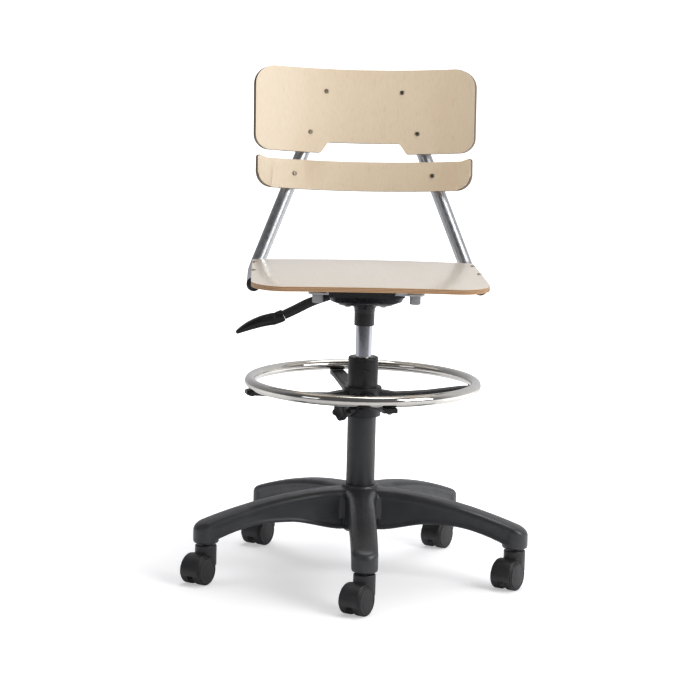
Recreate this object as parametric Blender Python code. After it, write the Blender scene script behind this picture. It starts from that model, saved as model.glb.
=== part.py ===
"""Drafting chair: five-arm base on twin-wheel casters, gas lift column with a foot ring,
and a moulded plywood seat and back on a bent tube frame.

Metres, +Z up. The sitter faces -Y. The origin is on the floor, at the middle of the chair's
outline. Everything is drawn about the column's axis and hangs from one empty that stands there.
"""

import math

import bmesh
import bpy
from mathutils import Matrix, Vector

GAP = 0.0003  # left between pieces that touch
TOUCH = 0.0005  # left between a round piece and a surface that it lies along

# The column's axis, from the middle of the outline
COLUMN_X = 0.015
COLUMN_Y = 0.006

# Base and casters
ARM_COUNT = 5
FRONT_ARM_DEG = -90.6
STEM_CIRCLE = 0.281
ARM_HALF_WIDTH = 0.0224
ARM_WALL = 0.003
HUB_RADIUS = 0.052
SOCKET_RADIUS = 0.031
HUB_TOP = 0.1495
COLLAR_TOP = 0.1605
HUB_BOTTOM = 0.086
SKIRT_BOTTOM = 0.106
ARM_END_BOTTOM = 0.0692
WHEEL_RADIUS = 0.025
CASTER_TRAIL = 0.022
TRAIL_DEG = 234.0
WHEEL_INNER = 0.0056
WHEEL_OUTER = 0.0225
STEM_RADIUS = 0.0055
STEM_BORE = STEM_RADIUS / math.cos(math.pi / 8) + GAP  # the stem's corners turn inside its flats
AXLE_RADIUS = 0.003
BOSS_RADIUS = 0.0188
BOSS_TOP = 0.0655
HOOD_INNER = 0.0262
HOOD_OUTER = 0.0285
HOOD_HALF_WIDTH = 0.0195
WEB_HALF_WIDTH = 0.0045

# Column and gas lift
TUBE_RADIUS = 0.025
TUBE_WALL = 0.0025
TUBE_BOTTOM = 0.085
TUBE_TOP = 0.3784
BUSH_RADIUS = 0.0263
BUSH_TOP = 0.3862
CYLINDER_RADIUS = 0.014
CYLINDER_BOTTOM = 0.145
CYLINDER_TOP = 0.486
ROD_RADIUS = 0.005

# Foot ring
RING_RADIUS = 0.197
RING_TUBE = 0.0095
RING_HEIGHT = 0.340
RING_ARM_DEG = 10.7
RING_HUB_TOP = 0.334
RING_HUB_BOTTOM = 0.282
KNOB_DEG = 227.9
KNOB_HEIGHT = 0.296

# Seat unit
PAN_BOTTOM = 0.480
PAN_TOP = 0.5012
PLATE_TOP = 0.5045
SHEET = 0.003
LEVER_PIVOT = Vector((-0.048, -0.030, 0.4955))
RAIL_X = 0.1975  # at the front end; the rails close in a little towards the legs
RAIL_Z = 0.5092
SEAT_SHIFT = 0.0035  # the seat unit sits a little to one side of the column
RAIL_FRONT = 0.0
FRAME_RADIUS = 0.0125
FRAME_WALL = 0.0015
SHANK_RADIUS = 0.0025
SEAT_UNDER = 0.522
PLY = 0.0085
SEAT_REAR = 0.184
SEAT_BOW = 0.008
SEAT_CROWN = 0.002
SEAT_DROP = 0.003
SEAT_FRONT = -0.172
SEAT_HALF = 0.2035
SEAT_TAPER = 0.004
SEAT_CORNER = 0.060
SEAT_SCREW_Y = (0.026, 0.140)

# Back, in its own leaning frame: u across, v up along the lean, w towards the rear
LEAN_DEG = 12.4
BACK_CURVE = 0.42
BACK_FOOT = Vector((SEAT_SHIFT, 0.244, 0.6522))
SLAT_HEIGHT = 0.053
PANEL_BOTTOM = 0.0682
PANEL_TOP = 0.2222
BACK_HALF = 0.197
SLAT_HALF = 0.1925
BACK_SCREWS = ((0.1250, 0.0277), (0.0972, 0.105), (0.0690, 0.181))
LEG_LINE = ((0.1270, 0.0277), (0.0684, 0.181))  # two points on each leg's centre line


def remove_scene_objects():
    for item in list(bpy.data.objects):
        bpy.data.objects.remove(item, do_unlink=True)


def material(name, color, roughness, metallic=0.0):
    made = bpy.data.materials.new(name)
    made.use_nodes = True
    shader = made.node_tree.nodes["Principled BSDF"]
    shader.inputs["Base Color"].default_value = (*color, 1.0)
    shader.inputs["Roughness"].default_value = roughness
    shader.inputs["Metallic"].default_value = metallic
    return made


PLASTIC = (0.035, 0.036, 0.038)
PAINT = (0.03, 0.03, 0.032)
SILVER = (0.55, 0.56, 0.58)
CHROME = (0.75, 0.75, 0.76)
ZINC = (0.6, 0.6, 0.6)
BIRCH = (0.72, 0.61, 0.47)
GREY_RUBBER = (0.25, 0.25, 0.26)


# ---------------------------------------------------------------- shape helpers


def add_object(name, mesh_maker, color, roughness, metallic=0.0):
    """Makes the object from a bmesh, with its own material."""
    mesh = bpy.data.meshes.new(name)
    bmesh.ops.triangulate(mesh_maker, faces=mesh_maker.faces)
    bmesh.ops.recalc_face_normals(mesh_maker, faces=mesh_maker.faces)
    mesh_maker.to_mesh(mesh)
    mesh_maker.free()
    mesh.shade_smooth()
    mesh.set_sharp_from_angle(angle=math.radians(35))
    mesh.materials.append(material(name + "_finish", color, roughness, metallic))
    item = bpy.data.objects.new(name, mesh)
    bpy.context.scene.collection.objects.link(item)
    return item


def add_cutter(name, mesh_maker):
    item = add_object(name, mesh_maker, (1, 0, 0), 0.5)
    item.hide_render = True
    item.display_type = "WIRE"
    return item


def combine(item, other, operation):
    """Adds or cuts `other`, which becomes a hidden helper."""
    other.hide_render = True
    other.display_type = "WIRE"
    step = item.modifiers.new(operation.lower() + "_" + other.name, "BOOLEAN")
    step.operation = operation
    step.object = other
    step.solver = "EXACT"
    return item


def loft(rings, closed=False):
    """Skins equal rings one after another, with caps unless the stack is closed."""
    made = bmesh.new()
    loops = [[made.verts.new(point) for point in ring] for ring in rings]
    pairs = list(zip(loops, loops[1:]))
    if closed:
        pairs.append((loops[-1], loops[0]))
    for low, high in pairs:
        for i in range(len(low)):
            j = (i + 1) % len(low)
            made.faces.new((low[i], low[j], high[j], high[i]))
    if not closed:
        made.faces.new(loops[0])
        made.faces.new(loops[-1])
    return made


def turn(profile, segments=32, matrix=Matrix()):
    """Turns a closed (radius, height) outline about Z. An outline on the axis is solid."""
    made = bmesh.new()
    points = [made.verts.new((r, 0, z)) for r, z in profile]
    edges = [made.edges.new((a, b)) for a, b in zip(points, points[1:] + points[:1])]
    bmesh.ops.spin(
        made,
        geom=points + edges,
        cent=(0, 0, 0),
        axis=(0, 0, 1),
        angle=2 * math.pi,
        steps=segments,
        use_merge=True,
    )
    bmesh.ops.remove_doubles(made, verts=made.verts, dist=1e-6)
    bmesh.ops.delete(
        made, geom=[e for e in made.edges if not e.link_faces], context="EDGES"
    )
    bmesh.ops.transform(made, matrix=matrix, verts=made.verts)
    return made


def extrude(outline, low, high, matrix=Matrix()):
    """Extrudes a flat (x, y) outline from z = low to z = high."""
    rings = [[(x, y, z) for x, y in outline] for z in (low, high)]
    made = loft(rings)
    bmesh.ops.transform(made, matrix=matrix, verts=made.verts)
    return made


def box(low, high):
    outline = [(low[0], low[1]), (high[0], low[1]), (high[0], high[1]), (low[0], high[1])]
    return extrude(outline, low[2], high[2])


def rod(start, end, radius, segments=16):
    start, end = Vector(start), Vector(end)
    length = (end - start).length
    place = Matrix.Translation(start) @ (end - start).to_track_quat("Z", "Y").to_matrix().to_4x4()
    return turn([(0, 0), (radius, 0), (radius, length), (0, length)], segments, place)


def arc(center, radius, start_deg, end_deg, steps):
    angles = [start_deg + (end_deg - start_deg) * i / steps for i in range(steps + 1)]
    return [
        (
            center[0] + radius * math.cos(math.radians(a)),
            center[1] + radius * math.sin(math.radians(a)),
        )
        for a in angles
    ]


def round_corners(points, radii, steps):
    """A smooth route: each inner corner is replaced by an arc of its radius."""
    route = [points[0]]
    for before, corner, after, radius in zip(points, points[1:], points[2:], radii):
        into, out = (before - corner).normalized(), (after - corner).normalized()
        half = into.angle(out) / 2
        reach = radius / math.tan(half)
        middle = corner + (into + out).normalized() * radius / math.sin(half)
        start, end = corner + into * reach - middle, corner + out * reach - middle
        angle, axis = start.angle(end), start.cross(end)
        for i in range(steps + 1):
            route.append(middle + Matrix.Rotation(angle * i / steps, 3, axis) @ start)
    return route + [points[-1]]


def sweep_rings(route, radius, segments):
    """Circles along a route, turned with it so that the skin doesn't twist."""
    rings = []
    side = None
    for i, point in enumerate(route):
        ahead = route[min(i + 1, len(route) - 1)] - route[max(i - 1, 0)]
        ahead.normalize()
        if side is None:
            side = ahead.orthogonal().normalized()
        side = (side - ahead * side.dot(ahead)).normalized()
        other = ahead.cross(side)
        rings.append(
            [
                point
                + radius * (side * math.cos(2 * math.pi * k / segments)
                            + other * math.sin(2 * math.pi * k / segments))
                for k in range(segments)
            ]
        )
    return rings


def move_origin(item, point):
    """Puts the object's origin on its joint, and leaves its shape where it is."""
    item.data.transform(Matrix.Translation(-point))
    item.location = point


def smooth_step(value):
    value = min(max(value, 0.0), 1.0)
    return value * value * (3 - 2 * value)


# ---------------------------------------------------------------- base


def arm_top(r):
    """Height of the arm's crown: nearly level at the hub, curving down to the end."""
    return 0.1552 - 0.0452 * max((r - 0.03) / 0.25, 0.0) ** 1.9


def arm_bottom(r):
    """Lower edge: from the hub's foot up to an arch, then down into the end socket."""
    rise = 0.016 * smooth_step((r - 0.04) / 0.10)
    fall = 0.024 * max((r - 0.165) / 0.10, 0.0) ** 1.8
    return HUB_BOTTOM + rise - fall


def arm_section(r, inset):
    """Outline across the arm at radius r, inset by the wall for the hollow."""
    half = ARM_HALF_WIDTH + 0.006 * smooth_step((0.085 - r) / 0.05) - inset
    top = arm_top(r) - inset
    bottom = arm_bottom(r) if inset == 0 else arm_bottom(r) - 0.02
    shoulder = [(half, top - 0.010), (half - 0.005, top - 0.002)]
    right = [(half, bottom)] + shoulder
    return right + [(0, top)] + [(-x, z) for x, z in reversed(right)]


def arm_solid(angle, start, end, inset, steps):
    """One arm along its radius, as a solid loft of its sections."""
    turned = Matrix.Rotation(angle, 4, "Z")
    rings = []
    for i in range(steps + 1):
        r = start + (end - start) * i / steps
        rings.append([turned @ Vector((r, x, z)) for x, z in arm_section(r, inset)])
    return loft(rings)


def arm_end(angle):
    """Rounded end that holds the caster stem."""
    place = Matrix.Rotation(angle, 4, "Z") @ Matrix.Translation((STEM_CIRCLE, 0, 0))
    half = ARM_HALF_WIDTH
    profile = [
        (0, ARM_END_BOTTOM), (half, ARM_END_BOTTOM), (half + GAP, 0.088),
        (half - 0.004, 0.0995), (half - 0.012, 0.107), (0, 0.110),
    ]
    return turn(profile, 16, place)


def make_star_base():
    hub = [
        (TUBE_RADIUS + GAP, HUB_BOTTOM), (SOCKET_RADIUS, HUB_BOTTOM), (SOCKET_RADIUS, 0.145),
        (HUB_RADIUS - ARM_WALL, 0.1415), (HUB_RADIUS - ARM_WALL, SKIRT_BOTTOM),
        (HUB_RADIUS, SKIRT_BOTTOM), (HUB_RADIUS, 0.144), (0.047, 0.148), (0.0335, HUB_TOP),
        (0.032, COLLAR_TOP), (TUBE_RADIUS + GAP, COLLAR_TOP),
    ]
    base = add_object("star_base", turn(hub, 24), PLASTIC, 0.55)
    angles = [math.radians(FRONT_ARM_DEG + 360 / ARM_COUNT * k) for k in range(ARM_COUNT)]
    for k, angle in enumerate(angles):
        arm = arm_solid(angle, 0.028, STEM_CIRCLE - 0.002, 0, 8)
        combine(base, add_object(f"arm_{k}", arm, PLASTIC, 0.5), "UNION")
        combine(base, add_object(f"arm_end_{k}", arm_end(angle), PLASTIC, 0.5), "UNION")
    bore = rod((0, 0, 0.05), (0, 0, 0.2), TUBE_RADIUS + GAP, 24)
    combine(base, add_cutter("column_bore", bore), "DIFFERENCE")
    pockets = ((0.056, 0.120), (0.123, 0.187), (0.190, 0.256))
    for k, angle in enumerate(angles):
        for i, (start, end) in enumerate(pockets):
            pocket = arm_solid(angle, start, end, ARM_WALL, 2)
            combine(base, add_cutter(f"pocket_{k}_{i}", pocket), "DIFFERENCE")
        place = Matrix.Rotation(angle, 4, "Z") @ Matrix.Translation((STEM_CIRCLE, 0, 0))
        foot, head = place @ Vector((0, 0, 0.06)), place @ Vector((0, 0, 0.1003))
        stem_bore = rod(foot, head, STEM_RADIUS + GAP, 8)
        combine(base, add_cutter(f"stem_bore_{k}", stem_bore), "DIFFERENCE")
        for side in (-11, 11):
            rib = make_hub_rib(angle + math.radians(180 / ARM_COUNT + side))
            combine(base, add_object(f"rib_{k}_{side}", rib, PLASTIC, 0.5), "UNION")


def make_hub_rib(angle):
    """Thin gusset between the column socket and the skirt."""
    outline = [
        (SOCKET_RADIUS - 0.001, HUB_BOTTOM + 0.001), (HUB_RADIUS - 0.001, SKIRT_BOTTOM + 0.001),
        (HUB_RADIUS - 0.001, 0.143), (SOCKET_RADIUS - 0.001, 0.146),
    ]
    upright = Matrix.Rotation(angle, 4, "Z") @ Matrix.Rotation(math.pi / 2, 4, "X")
    return extrude(outline, -0.0015, 0.0015, upright)


# ---------------------------------------------------------------- casters


def wheel_profile():
    """Radius and distance from the middle of the caster, from the bore outwards."""
    bore = AXLE_RADIUS + GAP
    return [
        (bore, WHEEL_INNER), (WHEEL_RADIUS, WHEEL_INNER), (WHEEL_RADIUS, 0.0195),
        (WHEEL_RADIUS - 0.0025, 0.0215), (0, WHEEL_OUTER), (0, 0.0188), (bore, 0.0188),
    ]


def make_hood_mesh():
    """Fender over both wheels, a web between them and the boss that turns on the stem."""
    axle = (CASTER_TRAIL, WHEEL_RADIUS)
    upright = Matrix.Rotation(math.pi / 2, 4, "X")
    fender = arc(axle, HOOD_OUTER, -17, 138, 8) + arc(axle, HOOD_INNER, 138, -17, 8)
    cover = extrude(fender, -HOOD_HALF_WIDTH, HOOD_HALF_WIDTH, upright)
    hood = add_object("hood", cover, PLASTIC, 0.5)
    web = arc(axle, HOOD_OUTER - 0.0008, -16, 136, 5)
    web += [(-0.010, 0.040), (-0.004, 0.024), (0.012, 0.0145), (0.030, 0.0125)]
    middle = extrude(web, -WEB_HALF_WIDTH, WEB_HALF_WIDTH, upright)
    combine(hood, add_object("hood_web", middle, PLASTIC, 0.5), "UNION")
    profile = [
        (0, 0.034), (BOSS_RADIUS, 0.034), (BOSS_RADIUS, BOSS_TOP - 0.0015),
        (BOSS_RADIUS - 0.0015, BOSS_TOP), (0, BOSS_TOP),
    ]
    boss = add_object("hood_boss", turn(profile, 12), PLASTIC, 0.5)
    for side in (-1, 1):
        inner = (CASTER_TRAIL, side * (WEB_HALF_WIDTH + 0.0001), WHEEL_RADIUS)
        outer = (CASTER_TRAIL, side * 0.03, WHEEL_RADIUS)
        well = rod(inner, outer, HOOD_INNER + 0.0001, 16)
        combine(boss, add_cutter(f"wheel_well_{side}", well), "DIFFERENCE")
    combine(hood, boss, "UNION")
    stem_bore = rod((0, 0, 0.046), (0, 0, 0.08), STEM_BORE, 8)
    combine(hood, add_cutter("hood_stem_bore", stem_bore), "DIFFERENCE")
    left, right = (CASTER_TRAIL, -0.02, WHEEL_RADIUS), (CASTER_TRAIL, 0.02, WHEEL_RADIUS)
    combine(hood, add_cutter("hood_axle_bore", rod(left, right, AXLE_RADIUS + GAP, 8)), "DIFFERENCE")
    bpy.context.view_layer.update()
    graph = bpy.context.evaluated_depsgraph_get()
    finished = bpy.data.meshes.new_from_object(hood.evaluated_get(graph))
    bpy.data.objects.remove(hood)
    return finished


def add_copy(name, mesh, place):
    item = bpy.data.objects.new(name, mesh)
    bpy.context.scene.collection.objects.link(item)
    item.matrix_world = place


def make_casters():
    hood = make_hood_mesh()
    wheel = add_object("wheel", turn(wheel_profile(), 16), PLASTIC, 0.4)
    low, high = (CASTER_TRAIL, -0.0183, WHEEL_RADIUS), (CASTER_TRAIL, 0.0183, WHEEL_RADIUS)
    axle = add_object("axle", rod(low, high, AXLE_RADIUS, 8), ZINC, 0.3, 1.0)
    stem = add_object("stem", rod((0, 0, 0.0463), (0, 0, 0.0998), STEM_RADIUS, 8), ZINC, 0.3, 1.0)
    for k in range(ARM_COUNT):
        angle = math.radians(FRONT_ARM_DEG + 360 / ARM_COUNT * k)
        position = Vector((STEM_CIRCLE * math.cos(angle), STEM_CIRCLE * math.sin(angle), 0))
        place = Matrix.Translation(position) @ Matrix.Rotation(math.radians(TRAIL_DEG), 4, "Z")
        add_copy(f"caster_stem_{k + 1}", stem.data, place)
        add_copy(f"caster_hood_{k + 1}", hood, place)
        add_copy(f"caster_axle_{k + 1}", axle.data, place)
        for name, side in (("left", 1), ("right", -1)):
            sideways = Matrix.Rotation(-side * math.pi / 2, 4, "X")
            centre = Matrix.Translation((CASTER_TRAIL, 0, WHEEL_RADIUS))
            add_copy(f"caster_wheel_{name}_{k + 1}", wheel.data, place @ centre @ sideways)
    for pattern in (wheel, axle, stem):
        bpy.data.objects.remove(pattern)


# ---------------------------------------------------------------- column and gas lift


def make_column():
    inner = TUBE_RADIUS - TUBE_WALL
    hole = 0.0065
    tube = [
        (hole, TUBE_BOTTOM), (TUBE_RADIUS, TUBE_BOTTOM), (TUBE_RADIUS, TUBE_TOP),
        (inner, TUBE_TOP), (inner, TUBE_BOTTOM + SHEET), (hole, TUBE_BOTTOM + SHEET),
    ]
    add_object("column_tube", turn(tube, 24), PAINT, 0.4)
    guide = CYLINDER_RADIUS + GAP
    bush = [
        (guide, 0.300), (inner - GAP, 0.300), (inner - GAP, TUBE_TOP + GAP),
        (TUBE_RADIUS + GAP, TUBE_TOP + GAP), (TUBE_RADIUS + GAP, 0.337), (BUSH_RADIUS, 0.337),
        (BUSH_RADIUS, BUSH_TOP - 0.005), (BUSH_RADIUS - 0.005, BUSH_TOP), (guide, BUSH_TOP),
    ]
    add_object("column_bush", turn(bush, 24), PLASTIC, 0.45)
    floor = TUBE_BOTTOM + SHEET + GAP
    bearing = [(0.0056, floor), (0.0115, floor), (0.0115, 0.094), (0.0056, 0.094)]
    add_object("thrust_bearing", turn(bearing, 16), ZINC, 0.3, 1.0)
    bore = ROD_RADIUS + GAP
    clip = [(bore, 0.0817), (0.0095, 0.0817), (0.0095, 0.0847), (bore, 0.0847)]
    add_object("rod_clip", turn(clip, 16), ZINC, 0.3, 1.0)


def make_gas_lift():
    piston = [
        (0, 0.0795), (ROD_RADIUS, 0.0795), (ROD_RADIUS, 0.0943), (0.009, 0.0943), (0.009, 0.100),
        (ROD_RADIUS, 0.101), (ROD_RADIUS, 0.288), (0.0117, 0.288), (0.0117, 0.300), (0, 0.300),
    ]
    add_object("piston_rod", turn(piston, 14), CHROME, 0.15, 1.0)
    pin = 0.004 + GAP
    cylinder = [
        (ROD_RADIUS + GAP, CYLINDER_BOTTOM), (CYLINDER_RADIUS, CYLINDER_BOTTOM),
        (CYLINDER_RADIUS, CYLINDER_TOP), (pin, CYLINDER_TOP), (pin, 0.470), (0, 0.470),
        (0, 0.460), (0.012, 0.460), (0.012, CYLINDER_BOTTOM + SHEET),
        (ROD_RADIUS + GAP, CYLINDER_BOTTOM + SHEET),
    ]
    add_object("gas_cylinder", turn(cylinder, 24), CHROME, 0.08, 1.0)
    button = [(0, 0.4765), (0.004, 0.4765), (0.004, 0.4932), (0.003, 0.4942), (0, 0.4942)]
    add_object("release_button", turn(button, 12), ZINC, 0.3, 1.0)


# ---------------------------------------------------------------- foot ring


def make_foot_ring():
    bpy.ops.mesh.primitive_torus_add(
        location=(0, 0, RING_HEIGHT), major_radius=RING_RADIUS, minor_radius=RING_TUBE,
        major_segments=40, minor_segments=10,
    )
    ring = bpy.context.object
    ring.name = ring.data.name = "foot_ring"
    ring.data.materials.append(material("foot_ring_finish", CHROME, 0.08, 1.0))
    ring.data.shade_smooth()


def ring_arm(angle):
    """Bracket arm from the collar up to the underside of the ring."""
    half = 0.0125
    under = RING_HEIGHT - RING_TUBE - GAP
    stations = (
        (0.029, 0.327, 0.296), (0.060, 0.322, 0.304), (0.120, 0.324, 0.313),
        (0.183, under, 0.3205), (0.209, under, 0.3215),
    )
    turned = Matrix.Rotation(angle, 4, "Z")
    rings = [
        [turned @ Vector((r, y, z)) for y, z in
         ((-half, low), (half, low), (half, high - 0.002), (half - 0.002, high),
          (-half + 0.002, high), (-half, high - 0.002))]
        for r, high, low in stations
    ]
    return loft(rings)


def make_ring_hub():
    bore = TUBE_RADIUS + GAP
    collar = [
        (bore, RING_HUB_BOTTOM), (0.0325, RING_HUB_BOTTOM), (0.0325, 0.322), (0.0335, 0.325),
        (0.0335, RING_HUB_TOP - 0.001), (0.0325, RING_HUB_TOP), (bore, RING_HUB_TOP),
    ]
    hub = add_object("ring_hub", turn(collar, 24), PLASTIC, 0.5)
    for k in range(4):
        arm = ring_arm(math.radians(RING_ARM_DEG + 90 * k))
        combine(hub, add_object(f"ring_arm_{k}", arm, PLASTIC, 0.5), "UNION")
    out = Vector((math.cos(math.radians(KNOB_DEG)), math.sin(math.radians(KNOB_DEG)), 0))
    level = Vector((0, 0, KNOB_HEIGHT))
    boss = rod(level + out * 0.029, level + out * 0.046, 0.0105, 12)
    combine(hub, add_object("knob_boss", boss, PLASTIC, 0.5), "UNION")
    clear = rod((0, 0, 0.27), (0, 0, 0.35), bore, 24)
    combine(hub, add_cutter("ring_hub_bore", clear), "DIFFERENCE")
    thread = rod(level + out * 0.02, level + out * 0.06, 0.0035 + GAP, 8)
    combine(hub, add_cutter("knob_thread", thread), "DIFFERENCE")


def make_clamp_knob():
    """Five-lobed knob on a stud that presses on the column."""
    lobes = []
    for k in range(20):
        a = 2 * math.pi * k / 20
        radius = 0.0150 + 0.0022 * math.cos(5 * a)
        lobes.append((radius * math.cos(a), radius * math.sin(a)))
    facing = Matrix.Rotation(math.radians(KNOB_DEG), 4, "Z") @ Matrix.Rotation(math.pi / 2, 4, "Y")
    place = Matrix.Translation((0, 0, KNOB_HEIGHT)) @ facing
    rings = [
        [place @ Vector((x * k, y * k, z)) for x, y in lobes]
        for z, k in ((0.0465, 0.88), (0.049, 1.0), (0.061, 1.0), (0.0645, 0.86))
    ]
    knob = add_object("clamp_knob", loft(rings), PLASTIC, 0.45)
    stud = turn([(0, TUBE_RADIUS + TOUCH), (0.0035, TUBE_RADIUS + TOUCH), (0.0035, 0.050), (0, 0.050)],
                10, place)
    combine(knob, add_object("clamp_stud", stud, ZINC, 0.4), "UNION")
    move_origin(knob, Vector((0, 0, KNOB_HEIGHT)))


# ---------------------------------------------------------------- seat mechanism


def tray_outline(half_x, front, rear, corner):
    points = []
    for sx, sy, start in ((1, rear, 0), (-1, rear, 90), (-1, front, 180), (1, front, 270)):
        centre = (sx * (half_x - corner), sy - corner if sy == rear else sy + corner)
        points += arc(centre, corner, start, start + 90, 2)
    return points


def tray(bottom, top, shrink):
    """Loft from the flat floor of the pan out to its rim."""
    rings = []
    rim = (0.0665, -0.070, 0.095)
    for half_x, front, rear, z in ((0.045, -0.045, 0.070, bottom), (*rim, top - 0.004), (*rim, top)):
        outline = tray_outline(half_x - shrink, front + shrink, rear - shrink, 0.012)
        rings.append([(x, y, z) for x, y in outline])
    return loft(rings)


def make_mechanism_pan():
    pan = add_object("mechanism_pan", tray(PAN_BOTTOM, PAN_TOP, 0), PAINT, 0.3)
    hollow = tray(PAN_BOTTOM + 0.0025, PAN_TOP + 0.003, 0.0022)
    combine(pan, add_cutter("pan_hollow", hollow), "DIFFERENCE")
    flange = box((-0.0655, -0.0699, PAN_TOP - 0.004), (0.048, -0.0678, PAN_TOP + 0.0075))
    combine(pan, add_object("front_flange", flange, PAINT, 0.3), "UNION")
    inner = CYLINDER_RADIUS + GAP
    sleeve = [
        (inner - 0.002, 0.441), (0.0175, 0.441), (0.0175, 0.466), (0.019, 0.472),
        (0.0215, 0.4775), (0.0215, PAN_BOTTOM + 0.001), (inner - 0.002, PAN_BOTTOM + 0.001),
    ]
    combine(pan, add_object("socket_sleeve", turn(sleeve, 24), PAINT, 0.3), "UNION")
    taper = rod((0, 0, 0.43), (0, 0, 0.49), inner, 24)
    combine(pan, add_cutter("socket_bore", taper), "DIFFERENCE")
    slot = box((-0.08, -0.048, 0.4815), (-0.044, -0.012, 0.51))
    combine(pan, add_cutter("lever_slot", slot), "DIFFERENCE")


def make_support_plate():
    """Silver plate between the pan and the cross bars, with two front tabs."""
    outline = tray_outline(0.100, -0.0665, 0.145, 0.010)
    plate = add_object("support_plate", extrude(outline, PLATE_TOP - SHEET, PLATE_TOP), SILVER, 0.35, 0.8)
    for side in (-1, 1):
        low, high = sorted((side * 0.050, side * 0.069))
        tab = box((low, -0.0665, PLATE_TOP - 0.001), (high, -0.0635, SEAT_UNDER - TOUCH))
        combine(plate, add_object(f"front_tab_{side}", tab, SILVER, 0.35), "UNION")
    window = box((-0.035, -0.02, 0.49), (0.035, 0.02, 0.51))
    combine(plate, add_cutter("plate_window", window), "DIFFERENCE")


def make_cross_bar(name, y):
    """Rectangular tube welded between the side rails."""
    half_y, low, high, wall = 0.0125, PLATE_TOP + GAP, PLATE_TOP + GAP + 0.0165, 0.0015
    reach = rail_x(y + half_y) - FRAME_RADIUS - TOUCH
    upright = Matrix.Rotation(math.pi / 2, 4, "Y")
    outer = [(-low, y - half_y), (-low, y + half_y), (-high, y + half_y), (-high, y - half_y)]
    inner = [
        (-low - wall, y - half_y + wall), (-low - wall, y + half_y - wall),
        (-high + wall, y + half_y - wall), (-high + wall, y - half_y + wall),
    ]
    rings = [
        [upright @ Vector((a, b, x + SEAT_SHIFT)) for a, b in ring]
        for ring, x in ((outer, -reach), (outer, reach), (inner, reach), (inner, -reach))
    ]
    add_object(name, loft(rings, closed=True), SILVER, 0.35, 0.8)


def make_buffers():
    for name, side in (("left", -1), ("right", 1)):
        place = Matrix.Translation((side * 0.084, -0.052, 0))
        top = PLATE_TOP - SHEET - GAP
        profile = [(0, 0.486), (0.0085, 0.486), (0.0095, 0.487), (0.0095, top), (0, top)]
        add_object(f"seat_buffer_{name}", turn(profile, 16, place), GREY_RUBBER, 0.7)


def lever_rings(stations):
    """Rounded oblong sections along a route in the X-Z plane."""
    rings = []
    for i, (x, y, z, half_y, half_z) in enumerate(stations):
        before, after = stations[max(i - 1, 0)], stations[min(i + 1, len(stations) - 1)]
        along = Vector((after[0] - before[0], after[1] - before[1], after[2] - before[2])).normalized()
        side = Vector((0, 0, 1)).cross(along).normalized()
        up = along.cross(side)
        middle = Vector((x, y, z))
        corner = 0.7
        ring = [
            middle + side * half_y * a + up * half_z * b
            for a, b in ((1, corner), (corner, 1), (-corner, 1), (-1, corner),
                         (-1, -corner), (-corner, -1), (corner, -1), (1, -corner))
        ]
        rings.append(ring)
    return rings


def make_lever():
    """The arm pivots in the pan wall; its inner end lies over the release button."""
    arm = (
        (0.007, 0.000, 0.4972, 0.0045, 0.0024), (-0.012, -0.003, 0.4972, 0.0045, 0.0024),
        (-0.034, -0.022, 0.4970, 0.005, 0.0026), (-0.050, -0.030, 0.4955, 0.006, 0.0040),
        (-0.068, -0.030, 0.4925, 0.007, 0.0063), (-0.095, -0.030, 0.4838, 0.007, 0.0080),
        (-0.120, -0.030, 0.4710, 0.007, 0.0082), (-0.141, -0.030, 0.4604, 0.007, 0.008),
    )
    arm_body = add_object("lever_arm", loft(lever_rings(arm)), PAINT, 0.4)
    paddle = (
        (-0.1415, -0.030, 0.4601, 0.008, 0.0100), (-0.153, -0.030, 0.4550, 0.010, 0.0105),
        (-0.175, -0.030, 0.4500, 0.0125, 0.0100), (-0.197, -0.030, 0.4420, 0.0125, 0.0080),
        (-0.214, -0.030, 0.4335, 0.010, 0.0055), (-0.222, -0.030, 0.4285, 0.006, 0.0030),
    )
    paddle_body = add_object("lever_paddle", loft(lever_rings(paddle)), PLASTIC, 0.45)
    for item in (arm_body, paddle_body):
        move_origin(item, LEVER_PIVOT)
    paddle_body.location.x -= GAP


# ---------------------------------------------------------------- back


def back_point(u, v, w):
    """A point of the back's leaning frame, in world coordinates."""
    lean = math.radians(LEAN_DEG)
    return BACK_FOOT + Vector((
        u, v * math.sin(lean) + w * math.cos(lean), v * math.cos(lean) - w * math.sin(lean)
    ))


def back_sag(u, depth):
    """How far forward the curved board is at u, measured at `depth` behind its face."""
    radius = BACK_CURVE + depth
    return depth - (radius - math.sqrt(radius * radius - u * u))


def board_stations(half, corner, steps):
    """Places across a board, closer together round its corners."""
    inner = half - corner
    places = [-inner + 2 * inner * i / steps for i in range(steps + 1)]
    for a in (8, 28, 48, 68):
        place = inner + corner * math.cos(math.radians(a))
        places += [-place, place]
    return sorted(round(p, 6) for p in places)


def corner_drop(u, half, radius):
    """How far a rounded corner pulls the edge in at u."""
    inside = abs(u) - (half - radius)
    if inside <= 0:
        return 0.0
    inside = min(inside, radius)
    return radius - math.sqrt(radius * radius - inside * inside)


def curved_board(places, low_edge, high_edge):
    """A moulded board: each section across u runs from its low edge to its high edge."""
    ease = 0.0012
    rings = []
    for u in places:
        low, high = low_edge(u), high_edge(u)
        front, back = 0.0, PLY
        section = [
            (low + ease, front), (high - ease, front), (high, front + ease),
            (high, back - ease), (high - ease, back), (low + ease, back),
            (low, back - ease), (low, front + ease),
        ]
        normal_u = u / BACK_CURVE
        rings.append([
            back_point(u + normal_u * depth, v, back_sag(u, 0) + depth * math.sqrt(1 - normal_u ** 2))
            for v, depth in section
        ])
    return loft(rings)


def notch(u):
    """Hand hole at the foot of the upper board: flat top, sloping rounded sides."""
    return 0.0195 * smooth_step((0.0790 - abs(u)) / 0.0165)


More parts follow.
